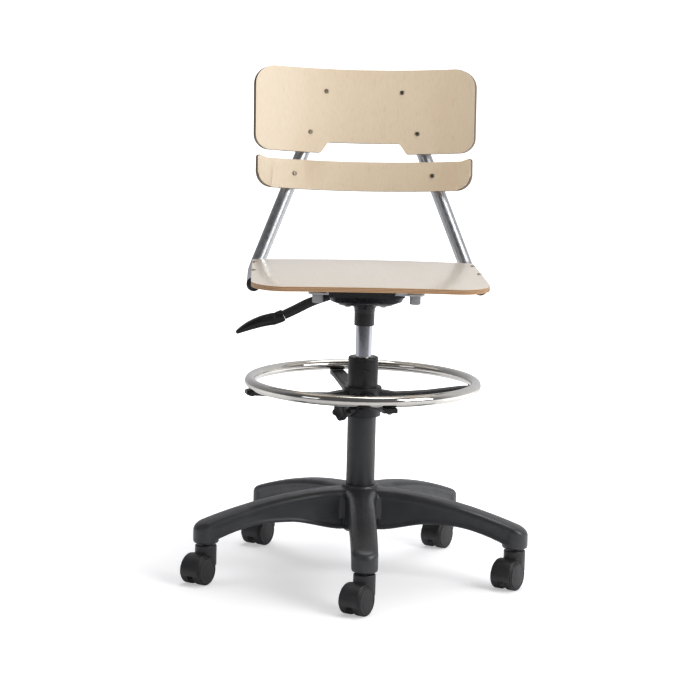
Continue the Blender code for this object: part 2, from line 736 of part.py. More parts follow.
def make_upper_back():
    half = BACK_HALF
    places = board_stations(half, 0.036, 10)
    places += [s * u for s in (-1, 1) for u in (0.0790, 0.0755, 0.0708, 0.066, 0.0625)]
    board = curved_board(
        sorted(set(places)),
        lambda u: PANEL_BOTTOM + notch(u) + corner_drop(u, half, 0.026),
        lambda u: PANEL_TOP - corner_drop(u, half, 0.036),
    )
    return add_object("back_panel_upper", board, BIRCH, 0.35)


def make_lower_back():
    half = SLAT_HALF
    board = curved_board(
        board_stations(half, 0.026, 10),
        lambda u: corner_drop(u, half, 0.026),
        lambda u: SLAT_HEIGHT + 0.0045 * smooth_step((abs(u) - 0.176) / 0.014),
    )
    return add_object("back_panel_lower", board, BIRCH, 0.35)


def screw_axis(u, v):
    """Point on the board's face and the direction through it, towards the rear."""
    face = back_point(u, v, back_sag(u, 0))
    slope = u / BACK_CURVE
    rear = back_point(u + slope, v, back_sag(u, 0) + math.sqrt(1 - slope * slope)) - face
    return face, rear.normalized()


def make_screw(name, face, inward, length):
    """Low round head on the board and a shank through it into the tube."""
    place = Matrix.Translation(face) @ inward.to_track_quat("Z", "Y").to_matrix().to_4x4()
    head, under = 0.0042, -0.0008
    profile = [
        (0, -0.0022), (head * 0.7, -0.0019), (head, under), (SHANK_RADIUS, under),
        (SHANK_RADIUS, length), (0, length),
    ]
    add_object(name, turn(profile, 8, place), ZINC, 0.4, 1.0)


# ---------------------------------------------------------------- frame tube


def leg_point(v):
    """Centre of the right leg at height v of the back's frame, without the seat's shift."""
    (low_u, low_v), (high_u, high_v) = LEG_LINE
    share = (v - low_v) / (high_v - low_v)
    reach = BACK_CURVE + PLY + FRAME_RADIUS + 0.0016
    low_w = math.sqrt(reach ** 2 - low_u ** 2) - BACK_CURVE
    high_w = math.sqrt(reach ** 2 - high_u ** 2) - BACK_CURVE
    point = back_point(low_u + share * (high_u - low_u), v, low_w + share * (high_w - low_w))
    point.x -= SEAT_SHIFT
    return point


def knee_point():
    """Where the right leg's line meets the height of its side rail."""
    bend = leg_point(0.165)
    along = (leg_point(0.0) - bend).normalized()
    return bend + along * ((bend.z - RAIL_Z) / -along.z)


def rail_x(y):
    """Distance of each side rail's centre from the middle of the seat, at y."""
    knee = knee_point()
    return RAIL_X + (knee.x - RAIL_X) * (y - RAIL_FRONT) / (knee.y - RAIL_FRONT)


def frame_route():
    """Right rail, right leg, top bend, left leg, left rail."""
    bend, knee, top = leg_point(0.165), knee_point(), leg_point(0.196)
    crown = back_point(0, 0.196, PLY + FRAME_RADIUS + 0.0008)
    top.y = max(top.y, crown.y)
    right = [Vector((RAIL_X, RAIL_FRONT, RAIL_Z)), knee, bend, top]
    left = [Vector((-p.x, p.y, p.z)) for p in reversed(right)]
    shift = Vector((SEAT_SHIFT, 0, 0))
    return round_corners([p + shift for p in right + left], (0.030, 0.20, 0.040, 0.040, 0.20, 0.030), 4)


def make_frame_tube(screws):
    route = frame_route()
    outer = sweep_rings(route, FRAME_RADIUS, 12)
    inner = sweep_rings(route, FRAME_RADIUS - FRAME_WALL, 12)
    tube = add_object("frame_tube", loft(outer + inner[::-1], closed=True), SILVER, 0.3, 0.9)
    for k, (face, inward) in enumerate(screws):
        hole = rod(face, face + inward * 0.022, SHANK_RADIUS + 0.0007, 6)
        combine(tube, add_cutter(f"frame_hole_{k}", hole), "DIFFERENCE")


def make_tube_plugs():
    for name, side in (("left", -1), ("right", 1)):
        centre = (SEAT_SHIFT + side * RAIL_X, RAIL_FRONT, RAIL_Z)
        place = Matrix.Translation(centre) @ Matrix.Rotation(math.pi / 2, 4, "X")
        spigot = FRAME_RADIUS - FRAME_WALL - GAP - 0.0002
        profile = [
            (0, -0.009), (spigot, -0.009), (spigot, GAP), (FRAME_RADIUS, GAP), (FRAME_RADIUS, 0.002),
            (0.0108, 0.0048), (0.0068, 0.0068), (0, 0.0075),
        ]
        add_object(f"tube_plug_{name}", turn(profile, 14, place), PLASTIC, 0.5)


# ---------------------------------------------------------------- seat


def seat_drop(y):
    """The front edge curls down like a waterfall."""
    return SEAT_DROP * max((-0.040 - y) / (-0.040 - SEAT_FRONT), 0.0) ** 2


def make_seat():
    """Sections across the seat from rear to front, each a flat oblong with eased edges."""
    rear_corner = 0.010
    places = [SEAT_REAR - back for back in (0.0, 0.003, 0.010, 0.05, 0.12, 0.20, 0.24, 0.27)]
    places += [SEAT_FRONT + SEAT_CORNER * (1 - math.cos(math.radians(a))) for a in (90, 66, 46, 28, 8)]
    ease = 0.0012
    rings = []
    across = (1.0, 0.8, 0.4, 0.0, -0.4, -0.8, -1.0)
    for y in sorted(set(places), reverse=True):
        half = SEAT_HALF - SEAT_TAPER * max((y + 0.10) / (SEAT_REAR + 0.10), 0.0)
        for near, radius in ((y - SEAT_FRONT, SEAT_CORNER), (SEAT_REAR - y, rear_corner)):
            if near < radius:
                half -= radius - math.sqrt(radius ** 2 - (radius - near) ** 2)
        z = SEAT_UNDER - seat_drop(y)
        bow = SEAT_BOW * smooth_step((y + 0.05) / (SEAT_REAR + 0.05))
        top, under = [], []
        for t in across:
            edge = ease if abs(t) == 1.0 else 0.0
            back = y + bow * (1 - t * t)
            crown = SEAT_CROWN * (1 - t * t)
            top.append((SEAT_SHIFT + t * half, back, z + PLY - edge + crown))
            under.append((SEAT_SHIFT + t * half, back, z + edge + crown))
        rings.append(top + under[::-1])
    return add_object("seat_panel", loft(rings), BIRCH, 0.3)


# ---------------------------------------------------------------- assembly


def main():
    remove_scene_objects()
    make_star_base()
    make_casters()
    make_column()
    make_gas_lift()
    make_foot_ring()
    make_ring_hub()
    make_clamp_knob()
    make_mechanism_pan()
    make_support_plate()
    make_cross_bar("cross_bar_front", 0.040)
    make_cross_bar("cross_bar_rear", 0.125)
    make_buffers()
    make_lever()
    upper, lower, seat = make_upper_back(), make_lower_back(), make_seat()
    screws = []
    for row, (u, v) in zip(("slat", "middle", "top"), BACK_SCREWS):
        for name, side in (("left", -1), ("right", 1)):
            face, inward = screw_axis(side * u, v)
            screws.append((face, inward))
            make_screw(f"back_screw_{row}_{name}", face, inward, 0.0135)
            hole = rod(face - inward * 0.003, face + inward * 0.012, SHANK_RADIUS + GAP, 8)
            board = lower if row == "slat" else upper
            combine(board, add_cutter(f"board_hole_{row}_{name}", hole), "DIFFERENCE")
    down = Vector((0, 0, -1))
    for row, y in zip(("front", "rear"), SEAT_SCREW_Y):
        for name, side in (("left", -1), ("right", 1)):
            face = Vector((SEAT_SHIFT + side * rail_x(y), y, SEAT_UNDER + PLY + 0.0003))
            screws.append((face, down))
            make_screw(f"seat_screw_{row}_{name}", face, down, 0.0145)
            hole = rod(face - down * 0.003, face + down * 0.012, SHANK_RADIUS + GAP, 8)
            combine(seat, add_cutter(f"seat_hole_{row}_{name}", hole), "DIFFERENCE")
    make_frame_tube(screws)
    make_tube_plugs()
    chair = bpy.data.objects.new("chair", None)
    bpy.context.scene.collection.objects.link(chair)
    chair.location = (COLUMN_X, COLUMN_Y, 0)
    for item in bpy.data.objects:
        if item is not chair:
            item.parent = chair


main()
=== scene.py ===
"""Looks of the drafting chair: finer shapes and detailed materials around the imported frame.

Metres, +Z up, the sitter faces -Y. Shapes are drawn about the column's axis and then put in place.
"""

import math

import bmesh
import bpy
from mathutils import Matrix, Vector


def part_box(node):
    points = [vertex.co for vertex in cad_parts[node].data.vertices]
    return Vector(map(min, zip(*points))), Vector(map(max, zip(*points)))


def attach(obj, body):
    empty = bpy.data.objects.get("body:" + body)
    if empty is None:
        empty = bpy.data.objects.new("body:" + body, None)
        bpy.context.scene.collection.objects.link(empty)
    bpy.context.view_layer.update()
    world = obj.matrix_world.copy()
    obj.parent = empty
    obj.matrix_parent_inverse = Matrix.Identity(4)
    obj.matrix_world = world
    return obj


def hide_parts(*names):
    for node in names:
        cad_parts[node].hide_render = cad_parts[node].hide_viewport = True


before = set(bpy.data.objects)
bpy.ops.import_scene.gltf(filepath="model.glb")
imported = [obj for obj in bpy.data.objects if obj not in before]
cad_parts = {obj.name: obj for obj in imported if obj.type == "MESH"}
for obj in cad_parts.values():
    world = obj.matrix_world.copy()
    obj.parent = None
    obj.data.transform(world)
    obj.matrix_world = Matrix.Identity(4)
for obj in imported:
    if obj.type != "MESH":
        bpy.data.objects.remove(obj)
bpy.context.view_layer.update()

GAP = 0.0003
column_low, column_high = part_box("column_tube")
COLUMN = Vector(((column_low.x + column_high.x) / 2, (column_low.y + column_high.y) / 2, 0))
AT_COLUMN = Matrix.Translation(COLUMN)

# Base and casters
ARM_ANGLES = [math.radians(-90.6 + 72 * k) for k in range(5)]
STEM_CIRCLE = 0.281
ARM_HALF_WIDTH = 0.0224
HUB_RADIUS = 0.052
SOCKET_RADIUS = 0.031
HUB_BOTTOM = 0.086
SKIRT_BOTTOM = 0.106
COLLAR_TOP = 0.1605
ARM_END_BOTTOM = 0.0692
TRAIL_ANGLE = math.radians(234.0)
TRAIL = 0.022
WHEEL_RADIUS = 0.025
HOOD_OUTER = 0.0285
HOOD_INNER = 0.0262
HOOD_HALF_WIDTH = 0.0195

# Column, gas lift and foot ring
TUBE_RADIUS = 0.025
TUBE_TOP = 0.3784
BUSH_RADIUS = 0.0263
BUSH_TOP = 0.3862
CYLINDER_RADIUS = 0.014
RING_RADIUS = 0.197
RING_TUBE = 0.0095
RING_HEIGHT = 0.340
RING_ARM_DEG = 10.7
KNOB_ANGLE = math.radians(227.9)
KNOB_HEIGHT = 0.296

# Seat unit
PAN_BOTTOM = 0.480
PAN_TOP = 0.5012
PLATE_TOP = 0.5045
SHEET = 0.003
RAIL_X = 0.1975
RAIL_Z = 0.5092
RAIL_FRONT = 0.0
SEAT_SHIFT = 0.0035
FRAME_RADIUS = 0.0125
FRAME_WALL = 0.0015
SEAT_UNDER = 0.522
PLY = 0.0085
SEAT_REAR = 0.184
SEAT_FRONT = -0.172
SEAT_HALF = 0.2035
SEAT_TAPER = 0.004
SEAT_CORNER = 0.060
SEAT_DROP = 0.003
SEAT_BOW = 0.008
SEAT_CROWN = 0.002
SEAT_SCREW_Y = (0.026, 0.140)

# Back, in its own leaning frame: u across, v up along the lean, w towards the rear
LEAN = math.radians(12.4)
BACK_CURVE = 0.42
BACK_FOOT = Vector((SEAT_SHIFT, 0.244, 0.6522))
SLAT_HEIGHT = 0.053
PANEL_BOTTOM = 0.0682
PANEL_TOP = 0.2222
BACK_HALF = 0.197
SLAT_HALF = 0.1925
BACK_SCREWS = ((0.1250, 0.0277), (0.0972, 0.105), (0.0690, 0.181))
LEG_LINE = ((0.1270, 0.0277), (0.0684, 0.181))  # two points on each leg's centre line
SIDES = (("left", -1), ("right", 1))
UPRIGHT = Matrix.Rotation(math.pi / 2, 4, "X")  # stands a flat outline up, facing -Y

# Room: each lamp's place, size, power and colour; the camera's aim about the column's axis
CHEST = (0, 0, 0.5)
LAMPS = {
    "key": ((2.3, -1.7, 1.9), 1.7, 62, (1, 1, 1)),
    "top": ((0.3, 0.5, 2.9), 1.6, 40, (1, 1, 1)),
    "fill": ((-2.6, -1.9, 1.5), 1.0, 5, (0.97, 0.98, 1.0)),
}
FLOOR_REACH = 30
CAMERA_TARGET = Vector((-0.046, 0, 0.418))
CAMERA_DISTANCE = 4.6
CAMERA_RISE, CAMERA_ROLL, CAMERA_TURN = (math.radians(d) for d in (8.542, 1.4, -2.3))
CAMERA_LENS, CAMERA_SENSOR = 140.74, 36


# ---------------------------------------------------------------- materials


def new_material(name):
    made = bpy.data.materials.new(name)
    made.use_nodes = True
    return made, made.node_tree, made.node_tree.nodes["Principled BSDF"]


def feed(tree, node, inputs):
    """Gives each input its value, or links it to a socket."""
    for name, value in inputs.items():
        if isinstance(value, bpy.types.NodeSocket):
            tree.links.new(value, node.inputs[name])
        else:
            node.inputs[name].default_value = value


def add_node(tree, kind, inputs, output=0, **settings):
    """Adds a shader node and returns one of its outputs."""
    node = tree.nodes.new("ShaderNode" + kind)
    for name, value in settings.items():
        setattr(node, name, value)
    feed(tree, node, inputs)
    return node.outputs[output]


def texture_space(tree, stretch=(1, 1, 1)):
    """Object coordinates, stretched per axis."""
    place = add_node(tree, "TexCoord", {}, "Object")
    return add_node(tree, "Mapping", {"Vector": place, "Scale": stretch}, "Vector")


def noise(tree, vector, scale, detail=3.0, roughness=0.55):
    inputs = {"Vector": vector, "Scale": scale, "Detail": detail, "Roughness": roughness}
    return add_node(tree, "TexNoise", inputs, "Fac")


def ramp(tree, value, stops):
    node = tree.nodes.new("ShaderNodeValToRGB")
    first, last = node.color_ramp.elements[0], node.color_ramp.elements[1]
    for element, (place, color) in zip((first, last), (stops[0], stops[-1])):
        element.position, element.color = place, (*color, 1)
    for place, color in stops[1:-1]:
        node.color_ramp.elements.new(place).color = (*color, 1)
    tree.links.new(value, node.inputs["Fac"])
    return node.outputs["Color"]


def spread(tree, value, low, high, start=0.3, end=0.7):
    """Maps start to end onto low to high."""
    inputs = {"Value": value, "From Min": start, "From Max": end, "To Min": low, "To Max": high}
    return add_node(tree, "MapRange", inputs, "Result")


def mix(tree, share, first, second, blend="MIX"):
    inputs = {"Factor": share, "A": first, "B": second}
    return add_node(tree, "Mix", inputs, "Result", data_type="RGBA", blend_type=blend)


def multiply(tree, first, second, share=1.0):
    return mix(tree, share, first, second, "MULTIPLY")


def bump(tree, shader, height, strength, distance):
    inputs = {"Height": height, "Strength": strength, "Distance": distance}
    feed(tree, shader, {"Normal": add_node(tree, "Bump", inputs, "Normal")})


def plastic(name, dark, light, rough, grain=1400.0, depth=0.00005, coat=0.0, shine=0.5):
    """Moulded plastic: fine spark-eroded grain, slight handling marks and tone changes."""
    made, tree, shader = new_material(name)
    space = texture_space(tree)
    feed(tree, shader, {
        "Base Color": ramp(tree, noise(tree, space, 22, 5), [(0.3, dark), (0.72, light)]),
        "Roughness": spread(tree, noise(tree, space, 60, 6, 0.7), rough - 0.07, rough + 0.08),
        "Specular IOR Level": shine, "Coat Weight": coat, "Coat Roughness": 0.25,
    })
    bump(tree, shader, noise(tree, space, grain, 2), 0.55, depth)
    return made


def metal(name, color, tint, rough, brush=(1, 1, 1), grain=500.0, depth=0.00001, coat=0.0):
    """Metal with a faint brushing or paint texture along one direction."""
    made, tree, shader = new_material(name)
    space = texture_space(tree, brush)
    feed(tree, shader, {
        "Base Color": ramp(tree, noise(tree, space, 35, 4), [(0.3, color), (0.7, tint)]),
        "Roughness": spread(tree, noise(tree, space, 120, 4), rough * 0.75, rough * 1.3),
        "Metallic": 1.0, "Coat Weight": coat, "Coat Roughness": 0.12,
    })
    bump(tree, shader, noise(tree, space, grain, 2), 0.4, depth)
    return made


def birch(name, fibre, pale, warm, rough, coat, gloss):
    """Lacquered birch veneer: fine fibres, soft bands and short darker flecks along `fibre`."""
    made, tree, shader = new_material(name)

    def grain(share, *settings):
        """Noise drawn out along the fibres."""
        stretch = [share if axis == fibre else 1.0 for axis in range(3)]
        return noise(tree, texture_space(tree, stretch), *settings)

    band, fibres, flecks = grain(0.25, 9, 3, 0.45), grain(0.035, 420, 5, 0.65), grain(0.12, 260, 2, 0.5)
    color = ramp(tree, band, [(0.25, warm), (0.5, pale), (0.8, tuple(0.96 * c for c in pale))])
    dark_fibres = ramp(tree, fibres, [(0.25, (0.90, 0.87, 0.82)), (0.6, (1, 1, 1))])
    dark_flecks = ramp(tree, flecks, [(0.27, (0.82, 0.75, 0.66)), (0.36, (1, 1, 1))])
    feed(tree, shader, {
        "Base Color": multiply(tree, multiply(tree, color, dark_fibres, 0.75), dark_flecks, 0.35),
        "Roughness": spread(tree, fibres, rough - 0.04, rough + 0.06),
        "Coat Weight": coat, "Coat Roughness": gloss,
    })
    bump(tree, shader, fibres, 0.35, 0.00004)
    return made


def ply_edge(name, light, dark, layers):
    """Cut edge of plywood: thin veneers seen end on, in alternating tones, from the rim's V."""
    made, tree, shader = new_material(name)
    rim = add_node(tree, "UVMap", {}, "UV", uv_map="rim")
    height = add_node(tree, "SeparateXYZ", {"Vector": rim}, "Y")
    scaled = add_node(tree, "Math", {0: height, 1: layers / 2}, operation="MULTIPLY")
    part = add_node(tree, "Math", {0: scaled}, operation="FRACT")
    veneers = ramp(tree, part, [(0.0, dark), (0.06, light), (0.48, light), (0.54, dark), (1.0, dark)])
    speck = noise(tree, texture_space(tree), 900, 4, 0.7)
    specks = ramp(tree, speck, [(0.3, (0.72, 0.66, 0.6)), (0.65, (1, 1, 1))])
    feed(tree, shader, {
        "Base Color": multiply(tree, veneers, specks, 0.8),
        "Roughness": spread(tree, speck, 0.42, 0.6), "Coat Weight": 0.2,
    })
    bump(tree, shader, part, 0.25, 0.00006)
    return made


def make_materials():
    pale, warm = (0.635, 0.525, 0.385), (0.590, 0.465, 0.322)
    return {
        "base": plastic("base_plastic", (0.019, 0.020, 0.022), (0.028, 0.029, 0.032), 0.41, coat=0.12),
        "hub": plastic("collar_plastic", (0.007, 0.007, 0.008), (0.012, 0.012, 0.0135), 0.38, shine=0.32),
        "caster": plastic("caster_plastic", (0.013, 0.013, 0.014), (0.021, 0.021, 0.023), 0.42, 900),
        "tread": plastic("tread_nylon", (0.009, 0.009, 0.010), (0.014, 0.014, 0.015), 0.5, 700, 0.0001),
        "paddle": plastic("paddle_plastic", (0.004, 0.004, 0.0045), (0.008, 0.008, 0.009), 0.34, shine=0.32),
        "tube": plastic("column_paint", (0.017, 0.018, 0.019), (0.024, 0.025, 0.027),
                        0.38, 2600, 0.00003, 0.1, 0.36),
        "paint": plastic("black_paint", (0.004, 0.004, 0.005), (0.008, 0.008, 0.009),
                        0.24, 1800, 0.00003, 0.12, 0.3),
        "chrome": metal("chrome_plate", (0.62, 0.60, 0.56), (0.70, 0.68, 0.64), 0.055, (1, 1, 1), 90),
        "cylinder": metal("chrome_rod", (0.48, 0.50, 0.53), (0.56, 0.58, 0.61), 0.12, (1, 1, 0.1), 600),
        "silver": metal("silver_paint", (0.44, 0.45, 0.47), (0.47, 0.48, 0.50),
                        0.36, (1, 1, 1), 2400, 0.000002, 0.05),
        "zinc": metal("zinc_plate", (0.48, 0.48, 0.47), (0.58, 0.57, 0.55), 0.33, (1, 1, 0.3), 900),
        "screw": metal("dark_screw", (0.20, 0.175, 0.14), (0.30, 0.26, 0.20), 0.34, (1, 1, 1), 1200),
        "buffer": plastic("buffer_rubber", (0.17, 0.17, 0.18), (0.22, 0.22, 0.23), 0.58, 800),
        "back": birch("back_veneer", 2, pale, warm, 0.46, 0.35, 0.36),
        "seat": birch("seat_veneer", 1, (0.735, 0.655, 0.545), (0.700, 0.605, 0.480), 0.36, 0.8, 0.16),
        "seat_edge": ply_edge("seat_ply_edge", (0.46, 0.285, 0.14), (0.22, 0.115, 0.05), 7),
        # The back's rims are given a much darker brown than the seat's ply edge.
        "back_edge": ply_edge("back_ply_edge", (0.15, 0.10, 0.058), (0.07, 0.045, 0.026), 7),
    }


# ---------------------------------------------------------------- shape helpers


def add_to_scene(name, data, place=Matrix()):
    item = bpy.data.objects.new(name, data)
    bpy.context.scene.collection.objects.link(item)
    item.matrix_world = place
    return item


def to_mesh(name, shape):
    """The bmesh as a mesh, its faces turned outwards."""
    mesh = bpy.data.meshes.new(name)
    bmesh.ops.recalc_face_normals(shape, faces=shape.faces)
    shape.to_mesh(mesh)
    shape.free()
    return mesh


def smooth(mesh, sharp):
    """Smooth shading, except at edges sharper than an angle in degrees."""
    mesh.shade_smooth()
    mesh.set_sharp_from_angle(angle=math.radians(sharp))
    return mesh


def round_edges(item, width, segments, limit):
    step = item.modifiers.new("soft_edges", "BEVEL")
    step.width, step.segments, step.limit_method = width, segments, "ANGLE"
    step.angle_limit = math.radians(limit)


def piece(name, shape, look, body, nodes=(), place=AT_COLUMN, sharp=40, bevel=0.0):
    """One visible piece, which rides on a body and may stand for CAD nodes."""
    mesh = smooth(to_mesh(name, shape), sharp) if isinstance(shape, bmesh.types.BMesh) else shape
    if not mesh.materials:
        for each in look if isinstance(look, tuple) else (look,):
            mesh.materials.append(LOOKS[each])
    item = add_to_scene(name, mesh, place)
    if bevel:
        round_edges(item, bevel, 3, 40)
    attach(item, body)
    if nodes:
        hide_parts(*nodes)
    return item


def dress(node, look, bevel=0.0):
    """Keeps a CAD node and gives it its finish."""
    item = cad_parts[node]
    item.data.materials.clear()
    item.data.materials.append(LOOKS[look])
    if bevel:
        round_edges(item, bevel, 2, 30)


def circle(radius, steps, *height):
    """Points evenly round the Z axis."""
    angles = [2 * math.pi * i / steps for i in range(steps)]
    return [(radius * math.cos(a), radius * math.sin(a), *height) for a in angles]


def fillet(points, radius, steps=4):
    """Rounds the corners of a closed outline; a corner with a third value has its own radius."""
    out = []
    count = len(points)
    for i, corner in enumerate(points):
        own = corner[2] if len(corner) > 2 else radius
        p = Vector(corner[:2])
        a, b = Vector(points[i - 1][:2]) - p, Vector(points[(i + 1) % count][:2]) - p
        longest = 0.48 * min(a.length, b.length)
        a.normalize()
        b.normalize()
        angle = a.angle(b)
        if own <= 0 or angle > math.pi - 0.01:
            out.append(tuple(p))
            continue
        reach = min(own / math.tan(angle / 2), longest)
        used = reach * math.tan(angle / 2)
        centre = p + (a + b).normalized() * used / math.sin(angle / 2)
        start, end = p + a * reach - centre, p + b * reach - centre
        first, last = math.atan2(start.y, start.x), math.atan2(end.y, end.x)
        sweep = (last - first + math.pi) % (2 * math.pi) - math.pi
        for k in range(steps + 1):
            at = first + sweep * k / steps
            out.append((centre.x + used * math.cos(at), centre.y + used * math.sin(at)))
    return out


def loft(rings, closed=False, made=None):
    made = made or bmesh.new()
    loops = [[made.verts.new(point) for point in ring] for ring in rings]
    pairs = list(zip(loops, loops[1:])) + ([(loops[-1], loops[0])] if closed else [])
    for low, high in pairs:
        for i in range(len(low)):
            j = (i + 1) % len(low)
            made.faces.new((low[i], low[j], high[j], high[i]))
    if not closed:
        made.faces.new(loops[0])
        made.faces.new(loops[-1])
    return made


def turn(profile, segments=72, matrix=Matrix(), made=None):
    """Turns a closed (radius, height) outline about Z."""
    made = made or bmesh.new()
    rows = []
    for k in range(segments):
        c, s = math.cos(2 * math.pi * k / segments), math.sin(2 * math.pi * k / segments)
        rows.append([matrix @ Vector((r * c, r * s, z)) for r, z in profile])
    loops = [[made.verts.new(p) for p in row] for row in rows]
    count = len(profile)
    for k in range(segments):
        here, there = loops[k], loops[(k + 1) % segments]
        for i in range(count):
            j = (i + 1) % count
            if profile[i][0] < 1e-7 and profile[j][0] < 1e-7:
                continue
            made.faces.new((here[i], here[j], there[j], there[i]))
    bmesh.ops.remove_doubles(made, verts=made.verts, dist=1e-7)
    return made


def extrude(outline, low, high, matrix=Matrix(), made=None):
    return loft([[matrix @ Vector((x, y, z)) for x, y in outline] for z in (low, high)], False, made)


def rounded_box(low, high, radius, matrix=Matrix(), made=None):
    """A box whose long edges along Z are rounded."""
    outline = fillet([(low[0], low[1]), (high[0], low[1]), (high[0], high[1]), (low[0], high[1])], radius)
    return extrude(outline, low[2], high[2], matrix, made)


def rod(start, end, radius, segments=24, made=None):
    start, end = Vector(start), Vector(end)
    place = Matrix.Translation(start) @ (end - start).to_track_quat("Z", "Y").to_matrix().to_4x4()
    length = (end - start).length
    return turn([(0, 0), (radius, 0), (radius, length), (0, length)], segments, place, made)


def arc(center, radius, start_deg, end_deg, steps):
    angles = [math.radians(start_deg + (end_deg - start_deg) * i / steps) for i in range(steps + 1)]
    return [(center[0] + radius * math.cos(a), center[1] + radius * math.sin(a)) for a in angles]


def smooth_step(value):
    value = min(max(value, 0.0), 1.0)
    return value * value * (3 - 2 * value)


def helper(name, shape):
    """An object that only shapes others; it is removed when its work is done."""
    return add_to_scene(name, to_mesh(name, shape))


def evaluated_mesh(item):
    """The item's mesh with its modifiers applied; the item is removed."""
    bpy.context.view_layer.update()
    made = bpy.data.meshes.new_from_object(item.evaluated_get(bpy.context.evaluated_depsgraph_get()))
    bpy.data.objects.remove(item)
    made.materials.clear()
    return made


def subtract(item, cutters, solver):
    """Cuts closed shapes out of the item; returns its mesh and removes the item."""
    tools = []
    for k, shape in enumerate(cutters):
        tool = helper(f"{item.name}_tool_{k}", shape)
        step = item.modifiers.new(f"cut_{k}", "BOOLEAN")
        step.operation, step.object, step.solver = "DIFFERENCE", tool, solver
        tools.append(tool)
    made = evaluated_mesh(item)
    for tool in tools:
        bpy.data.objects.remove(tool)
    return made


def blended(name, solids, voxel, passes, keep, cutters=()):
    """Melts overlapping solids into one moulded shape with soft fillets, then cuts its pockets."""
    item = helper(name, solids)
    melt = item.modifiers.new("melt", "REMESH")
    melt.mode, melt.voxel_size = "VOXEL", voxel
    soften = item.modifiers.new("soften", "SMOOTH")
    soften.factor, soften.iterations = 0.5, passes
    thin = item.modifiers.new("thin", "DECIMATE")
    thin.ratio = keep
    return smooth(subtract(item, cutters, "MANIFOLD"), 38)


# ---------------------------------------------------------------- base


def arm_top(r):
    return 0.1552 - 0.0452 * max((r - 0.03) / 0.25, 0.0) ** 1.9


def arm_bottom(r):
    rise = 0.016 * smooth_step((r - 0.04) / 0.10)
    fall = 0.024 * max((r - 0.165) / 0.10, 0.0) ** 1.8
    return HUB_BOTTOM + rise - fall


def arm_section(r):
    """Outside of the arm: crowned top, bulging shoulders and a slightly sunk side."""
    half = ARM_HALF_WIDTH + 0.006 * smooth_step((0.085 - r) / 0.05)
    top, low = arm_top(r), arm_bottom(r)
    deep = top - low
    right = [
        (half, low), (half, low + 0.004), (half - 0.0016, low + 0.0075), (half - 0.0022, low + deep * 0.45),
        (half - 0.0020, top - 0.0155), (half - 0.0002, top - 0.0118), (half, top - 0.0085),
        (half - 0.0018, top - 0.0045), (half - 0.0052, top - 0.0018), (half - 0.0105, top - 0.0006),
    ]
    return right + [(0, top)] + [(-x, z) for x, z in reversed(right)]


def arm_pocket(angle, start, end):
    """Hollow under the arm between two cross ribs."""
    turned = Matrix.Rotation(angle, 4, "Z")
    rings = []
    for i in range(7):
        r = start + (end - start) * i / 6
        half = ARM_HALF_WIDTH - 0.0048 + 0.004 * smooth_step((0.085 - r) / 0.05)
        top, low = arm_top(r) - 0.004, arm_bottom(r) - 0.02
        outline = fillet([(half, low, 0), (half, top), (-half, top), (-half, low, 0)], 0.005, 3)
        rings.append([turned @ Vector((r, x, z)) for x, z in outline])
    return loft(rings)


def arm_end(turned, made):
    """Round end over the caster stem; its crown keeps the slope of the arm."""
    half, crown, steps = ARM_HALF_WIDTH, arm_top(STEM_CIRCLE), 48
    rings = []
    for inward, height, sloped in (
        (0.0034, ARM_END_BOTTOM, 0), (0.0010, ARM_END_BOTTOM + 0.0010, 0), (0, ARM_END_BOTTOM + 0.0034, 0),
        (0, crown - 0.022, 0.4), (0, crown - 0.0085, 1), (0.0018, crown - 0.0045, 1),
        (0.0052, crown - 0.0018, 1), (0.0105, crown - 0.0006, 1), (0.018, crown, 1),
    ):
        ring = []
        for x, y in circle(half - inward, steps):
            rise = sloped * (arm_top(STEM_CIRCLE + x) - crown)
            ring.append(turned @ Vector((STEM_CIRCLE + x, y, height + rise)))
        rings.append(ring)
    loft(rings, False, made)


def make_base():
    solids = bmesh.new()
    for angle in ARM_ANGLES:
        turned = Matrix.Rotation(angle, 4, "Z")
        radii = [0.02 + (STEM_CIRCLE - 0.004 - 0.02) * i / 30 for i in range(31)]
        loft([[turned @ Vector((r, x, z)) for x, z in arm_section(r)] for r in radii], False, solids)
        arm_end(turned, solids)
    hub = [
        (0, HUB_BOTTOM), (SOCKET_RADIUS, HUB_BOTTOM), (SOCKET_RADIUS, SKIRT_BOTTOM),
        (HUB_RADIUS, SKIRT_BOTTOM),
        (HUB_RADIUS, 0.1415), (0.0505, 0.1455), (0.046, 0.1482), (0.036, 0.1497), (0.0325, 0.1515),
        (0.0322, COLLAR_TOP - 0.0005), (0, COLLAR_TOP),
    ]
    turn(hub, 72, Matrix(), solids)
    cutters = [rod((0, 0, 0.05), (0, 0, 0.2), TUBE_RADIUS + GAP, 96)]
    for angle in ARM_ANGLES:
        for start, end in ((0.0565, 0.119), (0.1225, 0.186), (0.1895, 0.2545)):
            cutters.append(arm_pocket(angle, start, end))
        turned = Matrix.Rotation(angle, 4, "Z")
        foot, head = turned @ Vector((STEM_CIRCLE, 0, 0.06)), turned @ Vector((STEM_CIRCLE, 0, 0.1003))
        cutters.append(rod(foot, head, 0.0064, 32))
        ring = bmesh.new()
        for side in (-11, 11):
            middle = angle + math.radians(36 + side)
            place = Matrix.Rotation(middle, 4, "Z")
            for k in (-1, 1):
                outline = [(SOCKET_RADIUS, k * 0.0012), (HUB_RADIUS - 0.003, k * 0.0012),
                           (HUB_RADIUS - 0.0045, k * 0.0075), (SOCKET_RADIUS + 0.0005, k * 0.0048)]
                extrude(outline, HUB_BOTTOM - 0.01, 0.138, place, ring)
        cutters.append(ring)
    mesh = blended("base_shell", solids, 0.0014, 7, 0.32, cutters)
    piece("base_shell", mesh, "base", "base", ["star_base"])


# ---------------------------------------------------------------- casters


